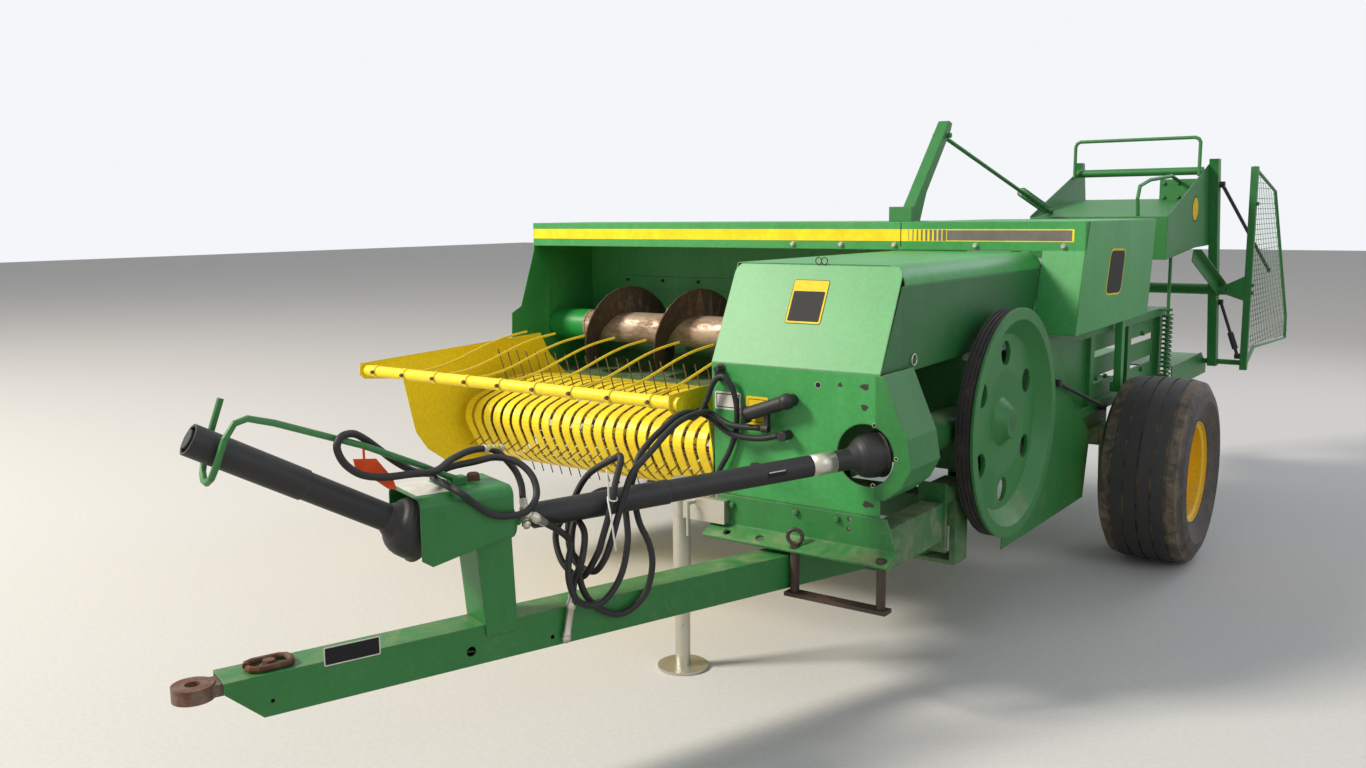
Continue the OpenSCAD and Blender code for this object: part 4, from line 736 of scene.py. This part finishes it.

# %% [markdown]
# One table says for each hose which solid it takes the place of, its route, whose places
# those are, and how long its coupler is. The two hoses that span two bodies stay where
# they lie, and the others ride on one. Each prints its length.

# %% Hoses on their bodies
HOSES = [
    ("supply_hose", "hose_supply", SUPPLY_ROUTE, tongue_spot, 136),
    ("return_hose", "hose_return", RETURN_ROUTE, tongue_spot, 84),
    ("loop_hose", "hose_loops", LOOP_ROUTE, tongue_spot, 82),
    ("arch_hose", "hose_arch", ARCH_ROUTE, spot, 0),
]
hose_paths = {}
for name, solid, route, where, coupler_length in HOSES:
    points = [where(*p) for p in route]
    path = smooth_path(points)
    hose_paths[name] = path
    hose = tube(name, path, HOSE_R, "hose")
    if coupler_length:
        coupler = turned(name.replace("hose", "coupler"), points[-1], points[-1] - points[-2],
                         coupler_profile(coupler_length), "zinc")
        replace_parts(fitted(coupler, "tongue_body"), "hose_couplers")
    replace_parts(hose, solid)
    if name in ("supply_hose", "return_hose"):
        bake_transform(hose)
    else:
        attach(hose, "frame" if name == "arch_hose" else "tongue_body")
    print(name, "is", round(path_length(path), 3), "m long")

# %% [markdown]
# The floor is a wide pale sheet, and the walls of the studio are only the world's light.
# The world is white for the camera and softer for the object, so the background stays
# clean while the lamps give the form. The main lamp stands where the sun stood in the
# photograph, high on the side of the pickup, and two weak ones fill the other sides.

# %% Studio: floor and world
FLOOR, BELOW = 40, -0.0015
WORLD_LIGHT = 0.4
floor_mesh = bpy.data.meshes.new("floor")
floor_mesh.from_pydata([(-FLOOR, -FLOOR, 0), (FLOOR, -FLOOR, 0), (FLOOR, FLOOR, 0), (-FLOOR, FLOOR, 0)],
                       [], [(0, 1, 2, 3)])
floor = placed("floor", floor_mesh)
floor.location.z = BELOW

floor_material, tree, floor_shader = new_material("pale_floor")
floor_tone = ramp(tree, noise(tree, object_place(tree), 60, 6, 0.6), 0.3, 0.7)
floor_colour = mix_colours(tree, floor_tone, colour(204, 203, 200), colour(210, 209, 206))
feed(tree, floor_shader, {"Base Color": floor_colour, "Roughness": 0.9})
floor_mesh.materials.append(floor_material)

world = bpy.data.worlds.new("studio")
bpy.context.scene.world = world
world.use_nodes = True
tree = world.node_tree
seen = add_node(tree, "ShaderNodeLightPath").outputs
shown = plus(tree, seen["Is Camera Ray"], seen["Is Glossy Ray"])
shown = plus(tree, shown, seen["Is Transmission Ray"], clamp=True)
strength = plus(tree, times(tree, shown, 1 - WORLD_LIGHT), WORLD_LIGHT)
feed(tree, tree.nodes["Background"], {"Strength": strength, "Color": colour(244, 246, 250)})
print("floor is", 2 * FLOOR, "m wide")

# %% Studio: lamps
LAMPS = [
    ("main_lamp", (-8.3, -10.6, 10.2), (0, -0.4, 0.7), 3.4, 3000, (255, 247, 234)),
    ("fill_lamp", (6.5, -3.0, 4.2), (0, 0, 0.8), 4.0, 80, (232, 240, 255)),
    ("rear_lamp", (2.5, 6.5, 5.0), (0, 0.6, 0.8), 3.5, 110, (240, 244, 255)),
]
for name, at, aim, size, power, tint in LAMPS:
    data = bpy.data.lights.new(name, "AREA")
    data.shape = "SQUARE"
    data.size = size
    data.energy = power
    data.color = colour(*tint)[:3]
    lamp = placed(name, data)
    lamp.location = at
    lamp.rotation_euler = (Vector(aim) - Vector(at)).to_track_quat("-Z", "Y").to_euler()
print("lamps:", [row[0] for row in LAMPS])

# %% [markdown]
# The long stripe on the hood is a thin film on the band above the auger. A plain yellow
# part runs into bars that grow wider until a grey field takes over, and a thin yellow
# line frames that field. The bars follow a rule: each is a little wider than the last
# and stands the same distance from it. The film carries no words.

# %% Films
FILM = 0.0006
LEFTWARD, REARWARD, FORWARD, UP = (Vector(way) for way in ((1, 0, 0), (0, 1, 0), (0, -1, 0), (0, 0, 1)))


def film(name, corner, across, up, width, height, finish, body, slot, lift=FILM, thick=FILM, round_r=0.0):
    """A thin plate on a face: corner is its lower start, sizes are in metres."""
    across, up = across.normalized(), up.normalized()
    out = across.cross(up).normalized()
    outline = []
    for cx, cy, start in ((width, height, 0), (0, height, 90), (0, 0, 180), (width, 0, 270)):
        inset_x = cx - round_r if cx else round_r
        inset_y = cy - round_r if cy else round_r
        for turn in ([0, 30, 60, 90] if round_r else [0]):
            angle = math.radians(start + turn)
            outline.append((inset_x + round_r * math.cos(angle), inset_y + round_r * math.sin(angle)))
    shape = bmesh.new()
    rings = [[shape.verts.new(corner + a * across + b * up + level * out) for a, b in outline]
             for level in (lift - thick, lift)]
    skin(shape, rings, smooth=False)
    return fitted(finished(name, shape, finish), body)


print("films are", 1000 * FILM, "mm thick")

# %% The stripe
HOOD_FACE, STRIPE_LOW, STRIPE_HIGH = 974, 1364, 1411
STRIPE_START, STRIPE_FADE, GREY_START, STRIPE_END = -1879, 148, 311, 805
BARS, FIRST_BAR, BAR_GROWTH = 9, 2.0, 1.55
BORDER, BAR_BORDER = 4, 2
ON_STRIPE = {"body": "frame", "slot": "yellow_paint", "lift": 2 * FILM}
stripe_h = (STRIPE_HIGH - STRIPE_LOW) / 1000
bar_pitch = (GREY_START - STRIPE_FADE) / BARS
film("stripe_yellow", spot(STRIPE_START, HOOD_FACE, STRIPE_LOW), LEFTWARD, UP,
     (STRIPE_END - STRIPE_START) / 1000, stripe_h, "stripe yellow", "frame", "yellow_paint")
film("stripe_grey", spot(GREY_START, HOOD_FACE, STRIPE_LOW + BORDER), LEFTWARD, UP,
     (STRIPE_END - GREY_START - 2 * BORDER) / 1000, stripe_h - 2 * BORDER / 1000, "stripe grey", **ON_STRIPE)
for bar in range(BARS):
    corner = spot(STRIPE_FADE + bar * bar_pitch, HOOD_FACE, STRIPE_LOW + BAR_BORDER)
    film(f"stripe_bar_{bar}", corner, LEFTWARD, UP, (FIRST_BAR + BAR_GROWTH * bar) / 1000,
         stripe_h - 2 * BAR_BORDER / 1000, "stripe grey", **ON_STRIPE)
print("stripe has", BARS, "bars,", round(bar_pitch, 1), "mm apart")

# %% [markdown]
# The labels keep their places, sizes and borders but say nothing. Each is a stack of
# films: a border, a slightly smaller field on it, and on some a plain block in the field.
# The table gives the lower corner, the two directions of the face it sits on, the size,
# the corner radius, the finishes with how far each is set in from the edge, and the body.

# %% Blank labels
PANEL = -354
LEAN = Vector((0, 149 / 301.4, 1)).normalized()
LEAN_FOOT = 1022.3
tongue_ahead = (tongue_spot(1, 0, 0) - tongue_spot(0, 0, 0)).normalized()
tongue_left = UP.cross(tongue_ahead)
LABELS = [
    ("panel_label", spot(333, PANEL, LEAN_FOOT) + LEAN * 0.142, LEFTWARD, LEAN, 124, 144, 8,
     [("label black", 0), ("label yellow", 2)], "front_door"),
    ("small_plate", spot(119, PANEL, 876), LEFTWARD, UP, 97, 56, 5,
     [("label white", 0), ("label black", 6), ("label white", 9)], "frame"),
    ("side_plate", spot(235, PANEL, 838), LEFTWARD, UP, 79, 88, 5,
     [("label yellow", 0), ("label black", 8), ("label yellow", 10)], "frame"),
    ("door_label", spot(851, 1228, 1154), Vector((0, 206, -6)), Vector((0, 57, 178)), 206, 187, 34,
     [("label yellow", 0), ("label black", 8)], "end_door"),
    ("round_label", spot(794, 2835, 1413), REARWARD, UP, 130, 130, 64,
     [("label black", 0), ("label yellow", 7)], "frame"),
    ("tongue_label", tongue_spot(2031, 51, 447), -tongue_ahead, UP, 136, 46, 3,
     [("label white", 0), ("label black", 3)], "tongue_body"),
    ("cover_label", tongue_spot(1706, -92, 820), tongue_ahead, tongue_left, 84, 150, 3,
     [("label white", 0)], "tongue_body"),
]
for name, corner, across, up, width, height, round_r, layers, body in LABELS:
    for level, (finish, inset) in enumerate(layers):
        film(f"{name}_{level}", corner + inset / 1000 * (across.normalized() + up.normalized()), across, up,
             (width - 2 * inset) / 1000, (height - 2 * inset) / 1000, finish, body, "yellow_paint",
             lift=(level + 1) * FILM, round_r=max(round_r - inset, 1) / 1000)
film("panel_label_block", spot(341, PANEL, LEAN_FOOT) + LEAN * 0.150, LEFTWARD, LEAN, 0.108, 0.098,
     "label black", "front_door", "yellow_paint", lift=3 * FILM, round_r=0.004)
print("labels:", [row[0] for row in LABELS])

# %% [markdown]
# Bolt heads are small, but they give the eye the scale of the panels. A hex head is a
# washer and a six-sided prism whose top is cut to a slope. All bolts that face one way
# and ride on one body are joined into one mesh, so a hundred of them cost one object.

# %% Bolt heads
WASHER, WASHER_H = 0.62, 0.0022
HEX, HEX_TOP = 0.577, 0.82
SIDE_H, TOP_H = 0.00045, 0.0006


def bolts(name, places, out, size, body, finish="zinc", levels=None):
    """Hex heads on washers at several places, joined in one mesh; size is across the flats in mm."""
    shape = bmesh.new()
    out = out.normalized()
    across = out.orthogonal().normalized()
    third = out.cross(across)
    washer, head = size / 1000 * WASHER, size / 1000 * HEX
    levels = levels or [
        (24, [(0.0, washer), (WASHER_H, washer)]),
        (6, [(WASHER_H, head), (WASHER_H + size * SIDE_H, head), (WASHER_H + size * TOP_H, head * HEX_TOP)]),
    ]
    for at in places:
        for sides, profile in levels:
            skin(shape, [circle(shape, at + along * out, across, third, radius, sides)
                         for along, radius in profile], smooth=False)
    return fitted(finished(name, shape, finish), body)


PAINTED_BOLTS = [
    ("case_bolts", [spot(705, y, z) for y, z in ((1640, 773), (1770, 768), (2357, 730), (2357, 900),
                                                 (1560, 900))], LEFTWARD, 19),
    ("deck_bolts", [spot(x, 2980, z) for x in (622, 692, 762) for z in (1538, 1608)], FORWARD, 16),
    ("sill_bolts", [spot(x, -362, z) for x, z in ((190, 575), (420, 585), (560, 585))], FORWARD, 17),
    ("guard_bolts", [spot(999, y, z) for y, z in ((3317, 1080), (3317, 1040), (3317, 1500))], LEFTWARD, 17),
]
bolts("hood_bolts", [spot(x, HOOD_FACE, 1349) for x in (-383, -153, 88, 428, 767)], FORWARD, 17, "frame")
for name, places, out, size in PAINTED_BOLTS:
    bolts(name, places, out, size, "frame", finish="green")
print("painted bolt sets:", [row[0] for row in PAINTED_BOLTS])

# %% [markdown]
# Holes that are only dark marks in the photograph are thin black discs of painted shade,
# standing in for the dark inside of each hole, with a bright rim where the paint has come
# off. Rust patches on the panel are films too, but with ragged outlines: the radius of each
# wanders with a sum of sines, so that no two look the same.

# %% Holes, worn spots and rust patches
RIM_POINTS = 36
FLANGE_X, FLANGE = 676, 5
HOLES = [(487, 979, 8), (672, 876, 5), (670, 699, 5), (744, 787, 4)]
RUST = [(274, 706, 16, 1.3), (396, 699, 12, 1.0), (560, 985, 6, 1.2), (640, 985, 9, 1.5), (640, 925, 9, 1.2),
        (655, 640, 9, 2.0)]


def patch(name, at, radius, finish, lift=FILM, ragged=0.0, phase=0.0, stretch=1.0):
    """A thin round or ragged patch on a face that looks forward."""
    shape = bmesh.new()
    rim = []
    for k in range(RIM_POINTS):
        a = 2 * math.pi * k / RIM_POINTS
        waves = math.sin(3 * a + phase) + 0.6 * math.sin(5 * a + 2 * phase) + 0.4 * math.sin(9 * a)
        wander = 1 + ragged * waves / 2
        rim.append(at + radius / 1000 * wander * (stretch * math.cos(a) * LEFTWARD + math.sin(a) * UP))
    rings = [[shape.verts.new(point + level * FORWARD) for point in rim] for level in (lift - FILM, lift)]
    skin(shape, rings, smooth=False)
    return fitted(finished(name, shape, finish), "frame")


for index, (x, z, radius) in enumerate(HOLES):
    at = spot(x, PANEL - FLANGE if x > FLANGE_X else PANEL, z)
    patch(f"panel_hole_rim_{index}", at, radius + 2, "zinc")
    # painted shade: a black disc stands in for the dark inside of the hole
    patch(f"panel_hole_{index}", at, radius, "label black", lift=2 * FILM)
for index, (x, z, radius, stretch) in enumerate(RUST):
    patch(f"rust_patch_{index}", spot(x, PANEL, z), radius, "dark steel", ragged=0.3,
          phase=1.7 * index, stretch=stretch)
print("patches on the lower panel:", len(HOLES), "holes and", len(RUST), "of rust")

# %% [markdown]
# The tall guard beside the bale thrower is filled with welded wire. The frame holds a
# coarse grid, which is enough for collisions; the real one is finer, so a denser grid
# replaces it. Each wire is cut where it meets the outline, by walking round the outline
# and collecting the crossings, which come in pairs.

# %% Fine mesh of the side guard
GUARD_OUTLINE = [(3347, 1662), (3930, 1555), (4530, 826), (4566, 704), (3560, 746), (3386, 678), (3347, 664)]
GUARD_X, WIRE, TALL_PITCH, LEVEL_PITCH = 978, 3.0, 50, 27


def crossings(outline, axis, value):
    """Where a line across the outline, at that value of one axis, goes in and out of it."""
    found = []
    for a, b in zip(outline, outline[1:] + outline[:1]):
        if (a[axis] - value) * (b[axis] - value) < 0:
            share = (value - a[axis]) / (b[axis] - a[axis])
            found.append(a[1 - axis] + share * (b[1 - axis] - a[1 - axis]))
    found.sort()
    return list(zip(found[::2], found[1::2]))


def add_wire(shape, start, end):
    """A six-sided wire between two points."""
    way = (end - start).normalized()
    across = way.orthogonal().normalized()
    third = way.cross(across)
    skin(shape, [circle(shape, at, across, third, WIRE / 2000, 6) for at in (start, end)])


def places_across(outline, axis, pitch):
    """Where wires stand along one axis of the outline."""
    values = [corner[axis] for corner in outline]
    return range(min(values) + pitch, max(values), pitch)


shape = bmesh.new()
for y in places_across(GUARD_OUTLINE, 0, TALL_PITCH):
    for low, high in crossings(GUARD_OUTLINE, 0, y):
        add_wire(shape, spot(GUARD_X, y, low), spot(GUARD_X, y, high))
for z in places_across(GUARD_OUTLINE, 1, LEVEL_PITCH):
    for low, high in crossings(GUARD_OUTLINE, 1, z):
        add_wire(shape, spot(GUARD_X + WIRE, low, z), spot(GUARD_X + WIRE, high, z))
fine_mesh = fitted(finished("fine_guard_mesh", shape, "green"), "frame")
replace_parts(fine_mesh, "guard_mesh")
print("guard wires have", len(fine_mesh.data.polygons), "faces")

# %% [markdown]
# Small turned and bent steel says how the machine is held together: a spring at the end
# of the feeder's rod, rings and clips on the box, clamps on the pickup's pipe and nuts on
# the wheels. Rings are turned like the couplers, and wire follows a circle or a helix
# through the same tube helper as the hoses.

# %% Bent wire and rings
ROD_FRONT, ROD_REAR = spot(80, 1440, 1800), spot(200, 2500, 1470)
ROD = ROD_REAR - ROD_FRONT
SPRING_FROM, SPRING_SHARE, SPRING_TURNS = 0.70, 0.27, 15


def wound(centre, across, up, radius, turns=1.0, advance=Vector((0, 0, 0)), steps=20):
    """Points round a circle, or along a helix where it advances."""
    count = round(turns * steps)
    points = []
    for k in range(count + 1):
        a = 2 * math.pi * k / steps
        points.append(centre + radius * (math.cos(a) * across + math.sin(a) * up) + advance * (k / count))
    return points


rod_way = ROD.normalized()
rod_across = rod_way.orthogonal().normalized()
spring_path = wound(ROD_FRONT + SPRING_FROM * ROD, rod_across, rod_way.cross(rod_across), 0.021,
                    turns=SPRING_TURNS, advance=SPRING_SHARE * ROD, steps=14)
fitted(tube("feeder_rod_spring", spring_path, 0.0036, "green", sides=8), "frame")
fitted(tube("cover_ring", wound(spot(693, -139, 1044), REARWARD, UP, 0.017), 0.0022, "zinc", sides=8),
       "top_cover")
for index, x in enumerate((404, 424)):
    clip = wound(spot(x, -207, 1336), LEFTWARD, UP, 0.0105)
    fitted(tube(f"cover_clip_{index}", clip, 0.0016, "dark steel", sides=8), "front_door")
print("spring is", round(path_length(spring_path), 2), "m of wire")

# %% [markdown]
# Each rod of the windguard is held on its pipe by a clamp, so nine clamps stand in line.
# The wheels are held by six nuts each, on a circle of 172 mm. Both follow the numbers of
# the drawing by a loop, and the wheel nuts ride with their wheel.

# %% Clamps and wheel nuts
PIPE_Y, PIPE_Z, PIPE_R = -430, 892, 21
CLAMP = [(0, 0.0213), (0, 0.0236), (0.016, 0.0236), (0.016, 0.0213)]
CLAMPS, CLAMP_PITCH, FIRST_CLAMP, CLAMP_HALF = 9, 166, -1400, 8
rod_places = [FIRST_CLAMP + CLAMP_PITCH * index for index in range(CLAMPS)]
for index, x in enumerate(rod_places):
    fitted(turned(f"rod_clamp_{index}", spot(x - CLAMP_HALF, PIPE_Y, PIPE_Z), LEFTWARD, CLAMP, "yellow"),
           "windguard_body")
bolts("rod_clamp_bolts", [spot(x, PIPE_Y - PIPE_R - 3, PIPE_Z) for x in rod_places], FORWARD, 12,
      "windguard_body", finish="hitch steel")

NUT_CIRCLE = 86
NUT = [
    (6, [(0, 0.0138), (0.021, 0.0138), (0.024, 0.0112)]),
    (12, [(0, 0.007), (0.033, 0.007), (0.034, 0.006)]),
]
for name, x, centre_z, out, body in (("left_wheel_nuts", 987, TYRE_R, LEFTWARD, "left_wheel"),
                                     ("right_wheel_nuts", -1716, SMALL_TYRE_R, -LEFTWARD, "right_wheel")):
    places = [spot(x, AXLE_Y + NUT_CIRCLE * math.sin(a), centre_z - NUT_CIRCLE * math.cos(a))
              for a in (math.radians(60 * k) for k in range(6))]
    bolts(name, places, out, 24, body, finish="dark steel", levels=NUT)
print("clamps:", len(rod_places), "and two sets of six wheel nuts")

# %% [markdown]
# The driveline's inner tube shows as a bright ring where the outer guard has slid back,
# and the guard has one slot for greasing. The ring is a thin sleeve on the tube, and the
# slot a dark film of painted shade for the opening, with a pale upper edge, laid along
# the tube on the side that faces out.

# %% Driveline ring and slot
DRIVE_IN, DRIVE_OUT = spot(660, -330, 785), tongue_spot(1480, 0, 706)
RING = [(0, 0.0306), (0, 0.0316), (0.074, 0.0316), (0.074, 0.0306)]
RING_AT, SLOT_AT, TUBE_FACE, SLOT_H = 0.132, 0.352, 0.0309, 0.016
drive_way = (DRIVE_OUT - DRIVE_IN).normalized()
fitted(turned("driveline_bright_ring", DRIVE_IN + RING_AT * drive_way, drive_way, RING, "zinc", sides=48),
       "driveline_yaw")
facing = LEFTWARD * 0.72 + FORWARD * 0.42 + UP * 0.1
facing = (facing - facing.dot(drive_way) * drive_way).normalized()
slot_up = drive_way.cross(facing)
slot_at = DRIVE_IN + SLOT_AT * drive_way + TUBE_FACE * facing - SLOT_H / 2 * slot_up
# painted shade: a dark film stands in for the open slot
film("driveline_slot", slot_at, -drive_way, slot_up, 0.056, SLOT_H, "label black", "driveline_yaw",
     "black_guard", lift=0.0012, thick=0.003)
film("driveline_slot_edge", slot_at - 0.003 * drive_way + 0.0125 * slot_up, -drive_way, slot_up, 0.05, 0.003,
     "zinc", "driveline_yaw", "galvanised", lift=0.0018, thick=0.003)
print("driveline runs along", [round(c, 3) for c in drive_way])

# %% [markdown]
# The last small things are on the hood and the hoses: a strip with four bolts behind the
# auger, a strap on its end wall, the dark joint between the two sheets of the hood's band,
# the bolt that holds the pedestal's cover, a white tie on the hoses and a striped sleeve.

# %% Strip, strap, joint and cover bolt
SHEET = {"finish": "light green", "body": "frame", "slot": "green_paint", "lift": 0.003, "thick": 0.003}
film("rear_strip", spot(-1693, 1417, 1098), LEFTWARD, UP, 1.72, 0.066, **SHEET)
bolts("strip_bolts", [spot(x, 1414, 1142) for x in (-1634, -1408, -1186, -964)], FORWARD, 15, "frame",
      finish="hitch steel")
film("end_strap", spot(-1878, 1054, 866), REARWARD, UP, 0.024, 0.258, **SHEET)
film("hood_joint", spot(114, HOOD_FACE, 1343), LEFTWARD, UP, 0.0025, 0.095, "label black", "frame",
     "green_paint", lift=3 * FILM)
bolts("cover_bolt", [tongue_spot(1607, -20, 820)], UP, 28, "tongue_body", finish="hitch steel")
print("strip, strap, joint and cover bolt are on")

# %% Hose tie and sleeve
TIE_STEPS = [
    (0.000, -0.020, 0.080), (0.002, -0.018, 0.035), (0, -0.0135, 0.002), (0.012, -0.004, -0.004),
    (0.006, 0.0125, 0), (-0.011, 0.006, 0.004), (-0.004, -0.0135, 0.002), (0.012, -0.022, -0.04),
    (0.030, -0.026, -0.130)]
SLEEVE = [(0, 0.0092), (0, 0.0098), (0.012, 0.0098), (0.012, 0.0092)]
SLEEVE_RINGS, SLEEVE_PITCH = 5, 0.012


def nearest(path, at):
    """The number of the point on a path that is nearest to a place."""
    return min(range(len(path)), key=lambda k: (path[k] - at).length)


supply = hose_paths["supply_hose"]
knot = supply[nearest(supply, tongue_spot(1280, 113, 745))]
tie_path = smooth_path([knot + Vector(step) for step in TIE_STEPS])
fitted(tube("hose_tie", tie_path, 0.0024, "tie white", sides=8), "tongue_body")
loop = hose_paths["loop_hose"]
middle = nearest(loop, tongue_spot(1560, -56, 886))
sleeve_way = (loop[middle + 1] - loop[middle - 1]).normalized()
for index in range(SLEEVE_RINGS):
    at = loop[middle] + SLEEVE_PITCH * index * sleeve_way
    fitted(turned(f"hose_sleeve_{index}", at, sleeve_way, SLEEVE, ("label white", "label yellow")[index % 2]),
           "tongue_body")
print("the tie holds at", [round(c, 3) for c in knot])
